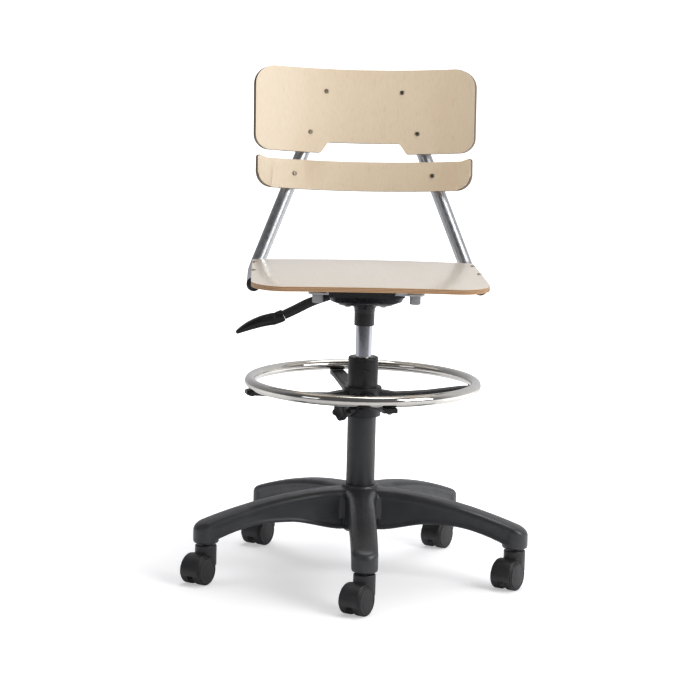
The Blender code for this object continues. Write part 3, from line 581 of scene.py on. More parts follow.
def hood_rings():
    """Barrel-shaped fender over both wheels, as sections from one side to the other."""
    rings = []
    stations = [-1, -0.985, -0.94, -0.85, -0.7, -0.5, -0.25, 0, 0.25, 0.5, 0.7, 0.85, 0.94, 0.985, 1]
    for t in stations:
        shoulder = 0.0022 * max((abs(t) - 0.82) / 0.18, 0.0) ** 2.2
        outer = HOOD_OUTER - 0.0006 * t * t - shoulder
        section = arc((TRAIL, WHEEL_RADIUS), outer, -15, 137, 34)
        section += arc((TRAIL, WHEEL_RADIUS), min(HOOD_INNER, outer - 0.0004), 137, -15, 34)
        rings.append([(x, t * HOOD_HALF_WIDTH, z) for x, z in section])
    return rings


def make_caster_cover():
    """Fender, web between the wheels and the boss round the stem."""
    solids = loft(hood_rings())
    web = arc((TRAIL, WHEEL_RADIUS), HOOD_OUTER - 0.0012, -14, 135, 30)
    web += [(-0.009, 0.040), (-0.004, 0.026), (0.008, 0.016), (0.020, 0.0135), (0.034, 0.014)]
    extrude(web, -0.0045, 0.0045, UPRIGHT, solids)
    radius = 0.0188
    boss = fillet([(0, 0.030, 0), (radius, 0.030, 0), (radius, 0.0655, 0.0015), (0, 0.0655, 0)], 0.001)
    turn(boss, 48, Matrix(), solids)
    cutters = [rod((0, 0, 0.046), (0, 0, 0.08), 0.0062, 32)]
    for side in (-1, 1):
        inner, outer = (TRAIL, side * 0.0047, WHEEL_RADIUS), (TRAIL, side * 0.03, WHEEL_RADIUS)
        cutters.append(rod(inner, outer, HOOD_INNER - 0.0002, 96))
    cutters.append(rod((TRAIL, -0.03, WHEEL_RADIUS), (TRAIL, 0.03, WHEEL_RADIUS), 0.0034, 24))
    return blended("caster_cover", solids, 0.0007, 4, 0.35, cutters)


def wheel_profile():
    """Tread with rounded shoulders, a step, and a domed disc with a raised rim."""
    bore, inner = 0.0033, 0.0056
    outline = [
        (bore, inner, 0), (0.0135, inner, 0), (0.0145, inner + 0.0012, 0.0008),
        (0.0205, inner + 0.0012, 0.0008),
        (0.0215, inner, 0.0005), (WHEEL_RADIUS, inner, 0.0012), (WHEEL_RADIUS, 0.0196, 0.0012),
        (0.0233, 0.0203, 0.0005), (0.0229, 0.0197, 0.0003), (0.0223, 0.0197, 0.0003),
        (0.0219, 0.0213, 0.0008),
        (0.0203, 0.0216, 0.0006), (0.0196, 0.0210, 0.0006), (0.012, 0.0222, 0.02), (0, 0.0225, 0),
        (0, 0.0186, 0), (bore, 0.0186, 0),
    ]
    return fillet(outline, 0.0005, 3)


def make_casters():
    cover = make_caster_cover()
    wheel = None
    for k, angle in enumerate(ARM_ANGLES, 1):
        stand = Vector((STEM_CIRCLE * math.cos(angle), STEM_CIRCLE * math.sin(angle), 0))
        place = AT_COLUMN @ Matrix.Translation(stand) @ Matrix.Rotation(TRAIL_ANGLE, 4, "Z")
        piece(f"caster_cover_{k}", cover, "caster", f"caster_{k}", [f"caster_hood_{k}"],
              place)
        for side, turned in SIDES:
            facing = Matrix.Rotation(turned * math.pi / 2, 4, "X")
            axle = Matrix.Translation((TRAIL, 0, WHEEL_RADIUS)) @ facing
            name = f"wheel_{side}_{k}"
            made = piece(name, wheel or turn(wheel_profile(), 96), "tread", name, [f"caster_{name}"],
                         place @ axle)
            wheel = made.data
        dress(f"caster_stem_{k}", "zinc")
        dress(f"caster_axle_{k}", "zinc")


# ---------------------------------------------------------------- column, gas lift, foot ring


def make_column():
    inner = TUBE_RADIUS - 0.0025
    tube = fillet([
        (0.0065, 0.085), (TUBE_RADIUS, 0.085), (TUBE_RADIUS, TUBE_TOP), (inner, TUBE_TOP),
        (inner, 0.088), (0.0065, 0.088),
    ], 0.0006, 3)
    piece("column_outer", turn(tube, 96), "tube", "base", ["column_tube"])
    guide = CYLINDER_RADIUS + GAP
    bush = fillet([
        (guide, 0.300), (inner - GAP, 0.300), (inner - GAP, TUBE_TOP + GAP, 0),
        (TUBE_RADIUS + GAP, TUBE_TOP + GAP, 0), (TUBE_RADIUS + GAP, 0.337, 0.0003),
        (BUSH_RADIUS, 0.337, 0.0006),
        (BUSH_RADIUS, 0.3795, 0.0004), (BUSH_RADIUS - 0.0007, 0.3799, 0.0002),
        (BUSH_RADIUS - 0.0007, 0.3806, 0.0002),
        (BUSH_RADIUS - 0.0001, 0.3810, 0.0003), (BUSH_RADIUS - 0.0001, BUSH_TOP, 0.0045),
        (guide + 0.0022, BUSH_TOP, 0.0006), (guide + 0.0008, BUSH_TOP - 0.0016, 0.0003),
        (guide, BUSH_TOP - 0.002, 0),
    ], 0.0005, 5)
    piece("column_guide", turn(bush, 96), "hub", "base", ["column_bush"])
    facing = Matrix.Rotation(math.radians(-78), 4, "Z") @ Matrix.Rotation(math.pi / 2, 4, "Y")
    place = AT_COLUMN @ Matrix.Translation((0, 0, 0.3655)) @ facing
    oval = fillet([(-0.0022, -0.0058), (0.0022, -0.0058), (0.0022, 0.0058), (-0.0022, 0.0058)], 0.0021, 6)
    rings = [[(x * k, y * k, z) for x, y in oval]
             for z, k in ((0.0225, 1.0), (0.0266, 1.0), (0.0271, 0.9), (0.0268, 0.72), (0.0268, 0.4))]
    piece("guide_latch", loft(rings), "paddle", "base", place=place)
    ring = [(guide + 0.0001, BUSH_TOP - 0.0014), (guide + 0.0019, BUSH_TOP - 0.0014),
            (guide + 0.0019, BUSH_TOP + 0.0004), (guide + 0.0001, BUSH_TOP + 0.0004)]
    piece("rod_wiper", turn(fillet(ring, 0.0004), 72), "zinc", "base")
    dress("thrust_bearing", "zinc")
    dress("rod_clip", "zinc")
    dress("piston_rod", "cylinder")
    top = 0.486
    cylinder = fillet([
        (0.0053, 0.145), (CYLINDER_RADIUS, 0.145, 0.001), (CYLINDER_RADIUS, top, 0.001),
        (0.0043, top, 0.0003),
        (0.0043, 0.470, 0), (0, 0.470, 0), (0, 0.460, 0), (0.012, 0.460, 0), (0.012, 0.148, 0),
        (0.0053, 0.148, 0),
    ], 0.0004, 3)
    piece("lift_cylinder", turn(cylinder, 96), "cylinder", "seat", ["gas_cylinder"])
    dress("release_button", "zinc")


def ring_arm(angle):
    """Arm with rounded top edges that dips from the collar and holds the ring from below."""
    half, under = 0.0125, RING_HEIGHT - RING_TUBE - GAP
    stations = (
        (0.026, 0.3275, 0.2955), (0.040, 0.3255, 0.2975), (0.060, 0.3220, 0.3035), (0.090, 0.3225, 0.3085),
        (0.120, 0.3240, 0.3125), (0.150, 0.3270, 0.3165), (0.178, under - 0.0003, 0.3200),
        (0.186, under, 0.3205),
        (0.204, under, 0.3212), (0.2075, under - 0.0012, 0.3225),
    )
    turned = Matrix.Rotation(angle, 4, "Z")
    rings = []
    for r, high, low in stations:
        slim = half if r < 0.206 else half - 0.0015
        outline = fillet([(-slim, low, 0.0008), (slim, low, 0.0008), (slim, high), (-slim, high)], 0.0028, 4)
        rings.append([turned @ Vector((r, y, z)) for y, z in outline])
    return loft(rings)


def make_foot_ring():
    outline = [(RING_RADIUS + x, RING_HEIGHT + z) for x, z in circle(RING_TUBE, 28)]
    piece("ring_tube", turn(outline, 160), "chrome", "foot_ring", ["foot_ring"])
    bore = TUBE_RADIUS + GAP
    collar = fillet([
        (bore, 0.282), (0.0318, 0.282, 0.001), (0.0325, 0.2835, 0.001), (0.0325, 0.322), (0.0335, 0.3245),
        (0.0335, 0.3325, 0.0012), (0.0322, 0.334, 0.0012), (bore, 0.334),
    ], 0.0008, 3)
    piece("ring_collar", turn(collar, 96), "hub", "foot_ring", ["ring_hub"])
    for k in range(4):
        angle = math.radians(RING_ARM_DEG + 90 * k)
        piece(f"ring_arm_{k + 1}", ring_arm(angle), "hub", "foot_ring")
        out = Matrix.Rotation(angle, 4, "Z")
        head = turn(screw_head(0.0046, 0.0026), 24, Matrix.Rotation(math.pi, 4, "X"))
        place = AT_COLUMN @ out @ Matrix.Translation((RING_RADIUS, 0, 0.3208))
        piece(f"ring_screw_{k + 1}", head, "screw", "foot_ring", place=place)
    out = Vector((math.cos(KNOB_ANGLE), math.sin(KNOB_ANGLE), 0))
    facing = Matrix.Rotation(KNOB_ANGLE, 4, "Z") @ Matrix.Rotation(math.pi / 2, 4, "Y")
    place = AT_COLUMN @ Matrix.Translation((0, 0, KNOB_HEIGHT)) @ facing
    boss = fillet([(0.0039, 0.0295, 0), (0.0118, 0.0295, 0), (0.0104, 0.046, 0.0012), (0.0039, 0.046, 0)],
                  0.0005)
    piece("knob_boss", turn(boss, 40), "hub", "foot_ring", place=place)
    rings = []
    profile = ((0.0465, 0.62), (0.0466, 0.80), (0.0472, 0.90), (0.0490, 0.985), (0.0510, 1.0), (0.0595, 1.0),
               (0.0622, 0.97), (0.0638, 0.90), (0.0645, 0.80), (0.0645, 0.55), (0.0639, 0.50),
               (0.0639, 0.1))
    for z, k in profile:
        ring = []
        for i in range(80):
            a = 2 * math.pi * i / 80
            wave = 0.0022 * math.cos(5 * a) * (1 if k > 0.6 else 0)
            radius = (0.0150 + wave) * k
            ring.append((radius * math.cos(a), radius * math.sin(a), z))
        rings.append(ring)
    knob = loft(rings)
    turn([(0, 0.0255), (0.003, 0.0255), (0.0035, 0.0262), (0.0035, 0.050), (0, 0.050)], 24, Matrix(), knob)
    piece("ring_knob", knob, "hub", "knob", ["clamp_knob"], place)


# ---------------------------------------------------------------- seat mechanism


def tray_rings(bottom, top, shrink, drop=0.0):
    """Rounded tray: a narrow flat floor, sloping sides and an upright rim."""
    rings = []
    for half, front, rear, z, corner in (
        (0.0435, -0.0435, 0.0685, bottom, 0.012), (0.0455, -0.0455, 0.0705, bottom + 0.0008, 0.013),
        (0.0475, -0.0480, 0.0725, bottom + 0.0022, 0.014),
        (0.0610, -0.0640, 0.0885, bottom + 0.0095, 0.014),
        (0.0645, -0.0680, 0.0930, top - 0.0045, 0.014), (0.0665, -0.0700, 0.0950, top - 0.0032, 0.015),
        (0.0665, -0.0700, 0.0950, top, 0.015),
    ):
        outline = fillet([(-half + shrink, front + shrink), (half - shrink, front + shrink),
                          (half - shrink, rear - shrink), (-half + shrink, rear - shrink)], corner, 6)
        rings.append([(x, y, z + drop) for x, y in outline])
    return rings


def cut(name, shape, cutters):
    """Cuts closed shapes out of a solid exactly."""
    return smooth(subtract(helper(name, shape), cutters, "EXACT"), 40)


def screw_head(radius, height):
    """Outline of a low button head that stands on z = 0."""
    return [(0, 0), (radius, 0), (radius, height * 0.35), (radius * 0.93, height * 0.66),
            (radius * 0.75, height * 0.9), (radius * 0.45, height), (0, height)]


def socket_head(name, place, body, radius=0.0042, nodes=()):
    """Button head with a hexagon socket, the socket's floor below the head's rim."""
    height, steps = 0.0019, 24
    rings = [circle(radius * share, steps, height * z)
             for share, z in ((1.0, 0.0), (1.0, 0.35), (0.94, 0.68), (0.80, 0.90), (0.62, 1.0))]
    for share, z in ((0.50, 0.96), (0.49, 0.15)):
        ring = []
        for x, y, up in circle(radius * share, steps, height * z):
            flat = math.cos(math.pi / 6) / math.cos(math.atan2(y, x) % (math.pi / 3) - math.pi / 6)
            ring.append((x * flat, y * flat, up))
        rings.append(ring)
    return piece(name, loft(rings), "screw", body, nodes, place, sharp=30)


def make_mechanism():
    hollow = loft(tray_rings(PAN_BOTTOM, PAN_TOP + 0.004, 0.0022, 0.0026))
    slot = rounded_box((-0.08, 0.4815, 0.012), (-0.044, 0.51, 0.048), 0.003, UPRIGHT)
    bore = rod((0, 0, 0.47), (0, 0, 0.5), CYLINDER_RADIUS + GAP, 64)
    pan = cut("pan_body", loft(tray_rings(PAN_BOTTOM, PAN_TOP, 0)), [hollow, slot, bore])
    piece("pan_shell", pan, "paint", "seat", ["mechanism_pan"])
    inner = CYLINDER_RADIUS + GAP
    sleeve = fillet([
        (inner, 0.441), (0.0169, 0.441), (0.0176, 0.4418), (0.0176, 0.4628, 0.004), (0.0184, 0.4705, 0.006),
        (0.0216, 0.4764, 0.004), (0.0226, PAN_BOTTOM + 0.0006, 0.0004), (inner, PAN_BOTTOM + 0.0006, 0),
    ], 0.0004, 6)
    piece("pan_sleeve", turn(sleeve, 96), "paint", "seat")
    for k, (x, y) in enumerate(((-0.031, -0.030), (0.031, -0.030), (-0.031, 0.054), (0.031, 0.054)), 1):
        spot = Matrix.Translation((x, y, PAN_BOTTOM))
        head = extrude(fillet(circle(0.0052, 6), 0.0005, 2), -0.0032, 0.0, spot)
        piece(f"pan_bolt_{k}", head, "zinc", "seat", bevel=0.0004)
    flange = rounded_box((-0.0655, PAN_TOP - 0.004, 0.0678), (0.048, PAN_TOP + 0.0075, 0.0699), 0.002,
                         UPRIGHT)
    piece("pan_flange", flange, "paint", "seat", bevel=0.0004)
    plate = fillet([(-0.100, -0.0665), (0.100, -0.0665), (0.100, 0.145), (-0.100, 0.145)], 0.010, 5)
    window = rounded_box((-0.035, -0.02, 0.49), (0.035, 0.02, 0.51), 0.004)
    plate = cut("plate_body", extrude(plate, PLATE_TOP - SHEET, PLATE_TOP), [window])
    piece("mount_plate", plate, "silver", "seat", ["support_plate"], bevel=0.0005)
    for name, side in SIDES:
        low, high = sorted((side * 0.050, side * 0.069))
        tab = rounded_box((low, PLATE_TOP - 0.001, 0.0635), (high, SEAT_UNDER - 0.0008, 0.0665), 0.003,
                          UPRIGHT)
        piece(f"plate_tab_{name}", tab, "silver", "seat", bevel=0.0005)
    for k, (x, y) in enumerate(((-0.084, 0.040), (0.084, 0.040), (-0.084, 0.125), (0.084, 0.125)), 1):
        head = turn(screw_head(0.0055, 0.0035), 24, Matrix.Translation((x, y, PLATE_TOP - SHEET)) @
                    Matrix.Rotation(math.pi, 4, "X"))
        piece(f"plate_bolt_{k}", head, "zinc", "seat")
    for name in ("front", "rear"):
        dress(f"cross_bar_{name}", "silver", 0.0012)
    for name, side in SIDES:
        top = PLATE_TOP - SHEET - GAP
        outline = fillet([(0, 0.486, 0), (0.0095, 0.486, 0.0018), (0.0095, top), (0, top, 0)], 0.0006, 4)
        spot = AT_COLUMN @ Matrix.Translation((side * 0.084, -0.052, 0))
        piece(f"buffer_{name}", turn(outline, 40), "buffer", "seat", [f"seat_buffer_{name}"],
              spot)


def lever_rings(stations, sides=20, power=3.2):
    """Rounded oblong sections along a route, each turned to face along it."""
    rings = []
    for i, (x, y, z, half_y, half_z) in enumerate(stations):
        before, after = stations[max(i - 1, 0)], stations[min(i + 1, len(stations) - 1)]
        along = Vector([b - a for a, b in zip(before[:3], after[:3])]).normalized()
        side = Vector((0, 0, 1)).cross(along).normalized()
        up = along.cross(side)
        ring = []
        for k in range(sides):
            a = 2 * math.pi * k / sides
            c, s = math.cos(a), math.sin(a)
            c, s = math.copysign(abs(c) ** (2 / power), c), math.copysign(abs(s) ** (2 / power), s)
            ring.append(Vector((x, y, z)) + side * half_y * c + up * half_z * s)
        rings.append(ring)
    return rings


def along_route(stations, count):
    """More stations between the given ones, on a smooth curve through them."""
    out = []
    last = len(stations) - 1
    for i in range(last):
        p0, p1 = stations[max(i - 1, 0)], stations[i]
        p2, p3 = stations[i + 1], stations[min(i + 2, last)]
        for k in range(count):
            t = k / count
            out.append(tuple(
                0.5 * (2 * b + (c - a) * t + (2 * a - 5 * b + 4 * c - d) * t * t
                       + (3 * b - a - 3 * c + d) * t ** 3)
                for a, b, c, d in zip(p0, p1, p2, p3)))
    return out + [stations[-1]]


def make_lever():
    arm = (
        (0.007, 0.000, 0.4972, 0.0045, 0.0024), (-0.012, -0.003, 0.4972, 0.0045, 0.0024),
        (-0.034, -0.022, 0.4970, 0.005, 0.0026), (-0.050, -0.030, 0.4955, 0.006, 0.0040),
        (-0.068, -0.030, 0.4925, 0.007, 0.0063), (-0.095, -0.030, 0.4838, 0.007, 0.0080),
        (-0.120, -0.030, 0.4710, 0.007, 0.0082), (-0.141, -0.030, 0.4604, 0.007, 0.008),
    )
    piece("lever_bar", loft(lever_rings(along_route(arm, 6))), "hub", "lever", ["lever_arm"])
    paddle = (
        (-0.1418, -0.030, 0.4600, 0.0080, 0.0094), (-0.1425, -0.030, 0.4597, 0.0088, 0.0102),
        (-0.1500, -0.030, 0.4564, 0.0094, 0.0105), (-0.1535, -0.030, 0.4548, 0.0090, 0.0100),
        (-0.1570, -0.030, 0.4537, 0.0102, 0.0105), (-0.1660, -0.030, 0.4520, 0.0118, 0.0102),
        (-0.1800, -0.030, 0.4484, 0.0126, 0.0096), (-0.1970, -0.030, 0.4420, 0.0124, 0.0080),
        (-0.2080, -0.030, 0.4367, 0.0112, 0.0063), (-0.2155, -0.030, 0.4325, 0.0092, 0.0048),
        (-0.2205, -0.030, 0.4294, 0.0066, 0.0035), (-0.2228, -0.030, 0.4279, 0.0036, 0.0018),
    )
    piece("lever_grip", loft(lever_rings(along_route(paddle, 4), 28, 2.7)), "paddle", "lever",
          ["lever_paddle"])
    pin = rod((-0.048, -0.041, 0.4955), (-0.048, -0.019, 0.4955), 0.0022, 20)
    piece("lever_pin", pin, "zinc", "lever")


# ---------------------------------------------------------------- back, frame and seat


def back_point(u, v, w):
    """A point of the back's leaning frame, about the column's axis."""
    return BACK_FOOT + Vector((
        u, v * math.sin(LEAN) + w * math.cos(LEAN), v * math.cos(LEAN) - w * math.sin(LEAN)
    ))


def board_point(u, v, depth):
    """A point of a curved board: u across, v up, depth behind its face."""
    sag = math.sqrt(BACK_CURVE ** 2 - u * u) - BACK_CURVE
    slope = u / BACK_CURVE
    return back_point(u + slope * depth, v, sag + depth * math.sqrt(1 - slope * slope))


def rounded_board(outline, thickness, ease, cuts_x, cuts_y, place_point):
    """A board from its flat outline: eased rims, then bent by place_point(x, y, depth).

    The rim faces get the second material and a V coordinate from the thickness.
    """
    made = extrude(outline, 0.0, thickness)
    caps = [f for f in made.faces if abs(f.normal.z) > 0.9 or len(f.verts) > 8]
    rim_edges = [e for e in made.edges if len({f in caps for f in e.link_faces}) == 2]
    rim_ids = made.faces.layers.int.new("is_rim")
    for face in made.faces:
        face[rim_ids] = 0 if face in caps else 1
    bmesh.ops.bevel(made, geom=rim_edges, offset=ease, segments=4, profile=0.5, affect="EDGES",
                    clamp_overlap=False)
    for face in made.faces:
        face[rim_ids] = 0 if len(face.verts) > 8 else 1
    for axis, places in ((0, cuts_x), (1, cuts_y)):
        normal = Vector((1, 0, 0)) if axis == 0 else Vector((0, 1, 0))
        for place in places:
            geometry = list(made.verts) + list(made.edges) + list(made.faces)
            bmesh.ops.bisect_plane(made, geom=geometry, plane_co=normal * place, plane_no=normal, dist=1e-6)
    rim = made.loops.layers.uv.new("rim")
    for face in made.faces:
        face.material_index = face[rim_ids]
        for loop in face.loops:
            loop[rim].uv = (loop.vert.co.x + loop.vert.co.y, loop.vert.co.z / thickness)
    for vertex in made.verts:
        vertex.co = place_point(*vertex.co)
    return made


def spaced(low, high, step):
    count = round((high - low) / step)
    return [low + (high - low) * i / count for i in range(1, count)]


def make_back():
    half, slope = BACK_HALF, 0.0775
    notch_top = PANEL_BOTTOM + 0.0195
    upper = fillet([
        (-half, PANEL_BOTTOM, 0.026), (-slope, PANEL_BOTTOM, 0.006), (-0.0645, notch_top, 0.006),
        (0.0645, notch_top, 0.006), (slope, PANEL_BOTTOM, 0.006), (half, PANEL_BOTTOM, 0.026),
        (half + 0.0015, PANEL_TOP, 0.036), (-half - 0.0015, PANEL_TOP, 0.036),
    ], 0.03, 12)
    board = rounded_board(upper, PLY, 0.0016, spaced(-half, half, 0.008), [], board_point)
    piece("back_upper", board, ("back", "back_edge"), "seat", ["back_panel_upper"], sharp=60)
    half = SLAT_HALF
    ears = [(half, SLAT_HEIGHT + 0.0045, 0.004), (half - 0.006, SLAT_HEIGHT + 0.0038, 0.004),
            (half - 0.016, SLAT_HEIGHT, 0.012)]
    top = ears + [(-x, y, soft) for x, y, soft in reversed(ears)]
    lower = fillet([(-half, 0, 0.026), (half, 0, 0.026)] + top, 0.002, 8)
    board = rounded_board(lower, PLY, 0.0016, spaced(-half, half, 0.008), [], board_point)
    piece("back_slat", board, ("back", "back_edge"), "seat", ["back_panel_lower"], sharp=60)
    for row, (u, v) in zip(("slat", "middle", "top"), BACK_SCREWS):
        for name, side in SIDES:
            face = board_point(side * u, v, -0.0002)
            out = (face - board_point(side * u, v, 0.01)).normalized()
            place = AT_COLUMN @ Matrix.Translation(face) @ out.to_track_quat("Z", "Y").to_matrix().to_4x4()
            socket_head(f"back_bolt_{row}_{name}", place, "seat", nodes=[f"back_screw_{row}_{name}"])


def leg_point(v):
    """Centre of the right leg at height v of the back's frame, without the seat's shift."""
    (low_u, low_v), (high_u, high_v) = LEG_LINE
    share = (v - low_v) / (high_v - low_v)
    reach = BACK_CURVE + PLY + FRAME_RADIUS + 0.0016
    low_w = math.sqrt(reach ** 2 - low_u ** 2) - BACK_CURVE
    high_w = math.sqrt(reach ** 2 - high_u ** 2) - BACK_CURVE
    point = back_point(low_u + share * (high_u - low_u), v, low_w + share * (high_w - low_w))
    point.x -= SEAT_SHIFT
    return point


def knee_point():
    """Where the right leg's line meets the height of its side rail."""
    bend = leg_point(0.165)
    along = (leg_point(0.0) - bend).normalized()
    return bend + along * ((bend.z - RAIL_Z) / -along.z)


def rail_x(y):
    """Distance of each side rail's centre from the middle of the seat, at y."""
    knee = knee_point()
    return RAIL_X + (knee.x - RAIL_X) * (y - RAIL_FRONT) / (knee.y - RAIL_FRONT)


def round_corners(points, radii, steps):
    route = [points[0]]
    for before, corner, after, radius in zip(points, points[1:], points[2:], radii):
        into, out = (before - corner).normalized(), (after - corner).normalized()
        half = into.angle(out) / 2
        middle = corner + (into + out).normalized() * radius / math.sin(half)
        reach = radius / math.tan(half)
        start, end = corner + into * reach - middle, corner + out * reach - middle
        angle, axis = start.angle(end), start.cross(end)
        route += [middle + Matrix.Rotation(angle * i / steps, 3, axis) @ start for i in range(steps + 1)]
    return route + [points[-1]]


def sweep_rings(route, radius, segments):
    rings, side = [], None
    for i, point in enumerate(route):
        ahead = (route[min(i + 1, len(route) - 1)] - route[max(i - 1, 0)]).normalized()
        side = side or ahead.orthogonal().normalized()
        side = (side - ahead * side.dot(ahead)).normalized()
        other = ahead.cross(side)
        rings.append([point + radius * (side * math.cos(2 * math.pi * k / segments)
                                        + other * math.sin(2 * math.pi * k / segments))
                      for k in range(segments)])
    return rings


def make_frame():
    bend, knee, top = leg_point(0.165), knee_point(), leg_point(0.196)
    crown = back_point(0, 0.196, PLY + FRAME_RADIUS + 0.0008)
    top.y = max(top.y, crown.y)
    right = [Vector((RAIL_X, RAIL_FRONT, RAIL_Z)), knee, bend, top]
    left = [Vector((-p.x, p.y, p.z)) for p in reversed(right)]
    shift = Vector((SEAT_SHIFT, 0, 0))
    route = round_corners([p + shift for p in right + left], (0.030, 0.20, 0.040, 0.040, 0.20, 0.030), 14)
    outer = sweep_rings(route, FRAME_RADIUS, 40)
    inner = sweep_rings(route, FRAME_RADIUS - FRAME_WALL, 40)
    piece("bent_frame", loft(outer + inner[::-1], closed=True), "silver", "seat", ["frame_tube"],
          sharp=60)
    for name, side in SIDES:
        centre = (SEAT_SHIFT + side * RAIL_X, RAIL_FRONT, RAIL_Z)
        place = AT_COLUMN @ Matrix.Translation(centre) @ UPRIGHT
        spigot = FRAME_RADIUS - FRAME_WALL - GAP - 0.0002
        outline = [(0, -0.009, 0), (spigot, -0.009), (spigot, GAP, 0), (FRAME_RADIUS, GAP, 0.0003),
                   (FRAME_RADIUS, 0.0018, 0.001)]
        outline += [(FRAME_RADIUS * math.cos(a), 0.0018 + 0.0057 * math.sin(a), 0)
                    for a in (math.radians(d) for d in (20, 38, 55, 72))] + [(0, 0.0075, 0)]
        piece(f"rail_plug_{name}", turn(fillet(outline, 0.0004, 3), 48), "hub", "seat", [f"tube_plug_{name}"],
              place)
        for row, y in (("front", 0.040), ("rear", 0.125)):
            weld = fillet([(-0.0128, -0.0085), (0.0128, -0.0085), (0.0128, 0.0085), (-0.0128, 0.0085)],
                          0.003, 4)
            inside = side * (rail_x(y) - FRAME_RADIUS - 0.0030)
            facing = Matrix.Translation((SEAT_SHIFT + inside, y, 0.5131)) @ Matrix.Rotation(
                side * math.pi / 2, 4, "Y") @ Matrix.Rotation(math.pi / 2, 4, "Z")
            bead = [[facing @ Vector((x * k, z * k, d)) for x, z in weld]
                    for d, k in ((0.0, 1.0), (0.0012, 1.07), (0.0026, 1.09), (0.0044, 1.0))]
            piece(f"weld_{row}_{name}", loft(bead), "silver", "seat")


def seat_point(x, y, depth):
    """Bends the flat seat: crowned across, its front edge curling down, its rear edge bowed."""
    t = min(abs(x) / SEAT_HALF, 1.0)
    drop = SEAT_DROP * max((-0.040 - y) / (-0.040 - SEAT_FRONT), 0.0) ** 2
    bow = SEAT_BOW * smooth_step((y + 0.05) / (SEAT_REAR + 0.05)) * (1 - t * t)
    return Vector((SEAT_SHIFT + x, y + bow, SEAT_UNDER + depth + SEAT_CROWN * (1 - t * t) - drop))


def make_seat():
    half, rear = SEAT_HALF, SEAT_HALF - SEAT_TAPER
    outline = fillet([(-half, SEAT_FRONT, SEAT_CORNER), (half, SEAT_FRONT, SEAT_CORNER),
                      (rear, SEAT_REAR, 0.010), (-rear, SEAT_REAR, 0.010)], 0.03, 14)
    board = rounded_board(outline, PLY, 0.0018, spaced(-half, half, 0.014),
                          spaced(SEAT_FRONT, -0.04, 0.007) + spaced(-0.04, SEAT_REAR, 0.016), seat_point)
    piece("seat_board", board, ("seat", "seat_edge"), "seat", ["seat_panel"], sharp=60)
    for row, y in zip(("front", "rear"), SEAT_SCREW_Y):
        for name, side in SIDES:
            spot = seat_point(side * rail_x(y), y, PLY - 0.0002)
            place = AT_COLUMN @ Matrix.Translation(spot)
            socket_head(f"seat_bolt_{row}_{name}", place, "seat", nodes=[f"seat_screw_{row}_{name}"])


# ---------------------------------------------------------------- room


def banded(tree, direction, along, across):
    """Tones by direction, from the camera's side (-Y) to behind and from left to right."""
    tones = []
    for axis, stops in (("Y", along), ("X", across)):
        share = spread(tree, add_node(tree, "SeparateXYZ", {"Vector": direction}, axis), 0, 1, -1, 1)
        tones.append(ramp(tree, share, stops))
    return multiply(tree, *tones)


def make_floor():
    """White sweep: lit near the chair, where shadows fall, and plain white further out.

    In reflections it carries darker bands, as from screens round a studio table.
    """
    floor = bmesh.new()
    bmesh.ops.create_grid(floor, x_segments=1, y_segments=1, size=FLOOR_REACH)
    mesh = bpy.data.meshes.new("floor")
    floor.to_mesh(mesh)
    floor.free()
    made, tree, shader = new_material("studio_floor")
    space = texture_space(tree)
    distance = add_node(tree, "VectorMath", {0: space}, "Value", operation="LENGTH")
    direction = add_node(tree, "VectorMath", {0: space}, "Vector", operation="NORMALIZE")
    bands = banded(tree, direction, [
        (0.0, (0.05, 0.05, 0.055)), (0.30, (0.12, 0.12, 0.125)), (0.42, (0.75, 0.75, 0.76)), (0.70,
        (1, 1, 1)),
        (0.82, (0.62, 0.62, 0.63)), (0.92, (0.34, 0.34, 0.345)), (1.0, (0.30, 0.30, 0.305)),
    ], [(0.2, (0.45, 0.45, 0.46)), (0.7, (1, 1, 1))])
    reflected = add_node(tree, "LightPath", {}, "Is Glossy Ray")
    tones = [(0.3, (0.80, 0.80, 0.815)), (0.7, (0.82, 0.82, 0.83))]
    feed(tree, shader, {
        "Base Color": ramp(tree, noise(tree, space, 2, 2), tones),
        "Roughness": 0.9, "Specular IOR Level": 0.0,
        "Emission Color": mix(tree, reflected, (1, 1, 1, 1), bands),
        "Emission Strength": spread(tree, distance, 0.42, 1.2, 0.42, 1.15),
    })
    mesh.materials.append(made)
    add_to_scene("floor", mesh)


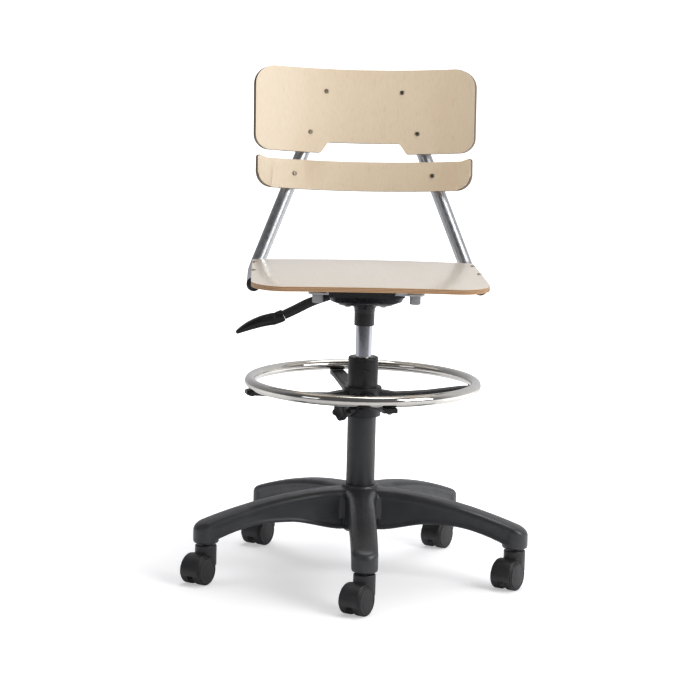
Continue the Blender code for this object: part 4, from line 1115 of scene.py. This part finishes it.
def make_world():
    """A white studio whose left and camera sides are darker, so that metal shows bands."""
    world = bpy.data.worlds.new("studio")
    bpy.context.scene.world = world
    world.use_nodes = True
    tree = world.node_tree
    sky = banded(tree, add_node(tree, "TexCoord", {}, "Generated"), [
        (0.0, (0.20, 0.20, 0.205)), (0.40, (0.26, 0.26, 0.265)), (0.62, (0.75, 0.75, 0.76)),
        (1.0, (0.98, 0.98, 1.0)),
    ], [(0.0, (0.30, 0.30, 0.31)), (0.42, (0.55, 0.55, 0.56)), (1.0, (1.0, 1.0, 1.0))])
    seen = add_node(tree, "LightPath", {}, "Is Camera Ray")
    feed(tree, tree.nodes["Background"], {"Color": mix(tree, seen, sky, (1.1, 1.1, 1.1, 1))})


def make_lights():
    for name, (place, size, power, color) in LAMPS.items():
        light = bpy.data.lights.new(name, "AREA")
        light.shape, light.size, light.energy, light.color = "SQUARE", size, power, color
        item = add_to_scene(name, light)
        item.location = place
        item.rotation_euler = (Vector(CHEST) - Vector(place)).to_track_quat("-Z", "Y").to_euler()


def make_camera():
    """A little above the seat's height, looking slightly down, with a slight roll."""
    back = Vector((0, -math.cos(CAMERA_RISE), math.sin(CAMERA_RISE)))
    flat = Vector((1, 0, 0))
    upward = flat.cross(-back)
    right = flat * math.cos(CAMERA_ROLL) + upward * math.sin(CAMERA_ROLL)
    up = upward * math.cos(CAMERA_ROLL) - flat * math.sin(CAMERA_ROLL)
    place = Matrix.Translation(CAMERA_TARGET + back * CAMERA_DISTANCE)
    axes = place @ Matrix((right, up, back)).transposed().to_4x4()
    data = bpy.data.cameras.new("camera")
    data.sensor_width, data.lens = CAMERA_SENSOR, CAMERA_LENS
    data.clip_start, data.clip_end = 0.1, 100
    camera = add_to_scene("camera", data, AT_COLUMN @ Matrix.Rotation(CAMERA_TURN, 4, "Z") @ axes)
    bpy.context.scene.camera = camera
    bpy.context.scene.view_settings.view_transform = "Standard"


LOOKS = make_materials()
make_base()
make_casters()
make_column()
make_foot_ring()
make_mechanism()
make_lever()
make_back()
make_frame()
make_seat()
make_floor()
make_world()
make_lights()
make_camera()
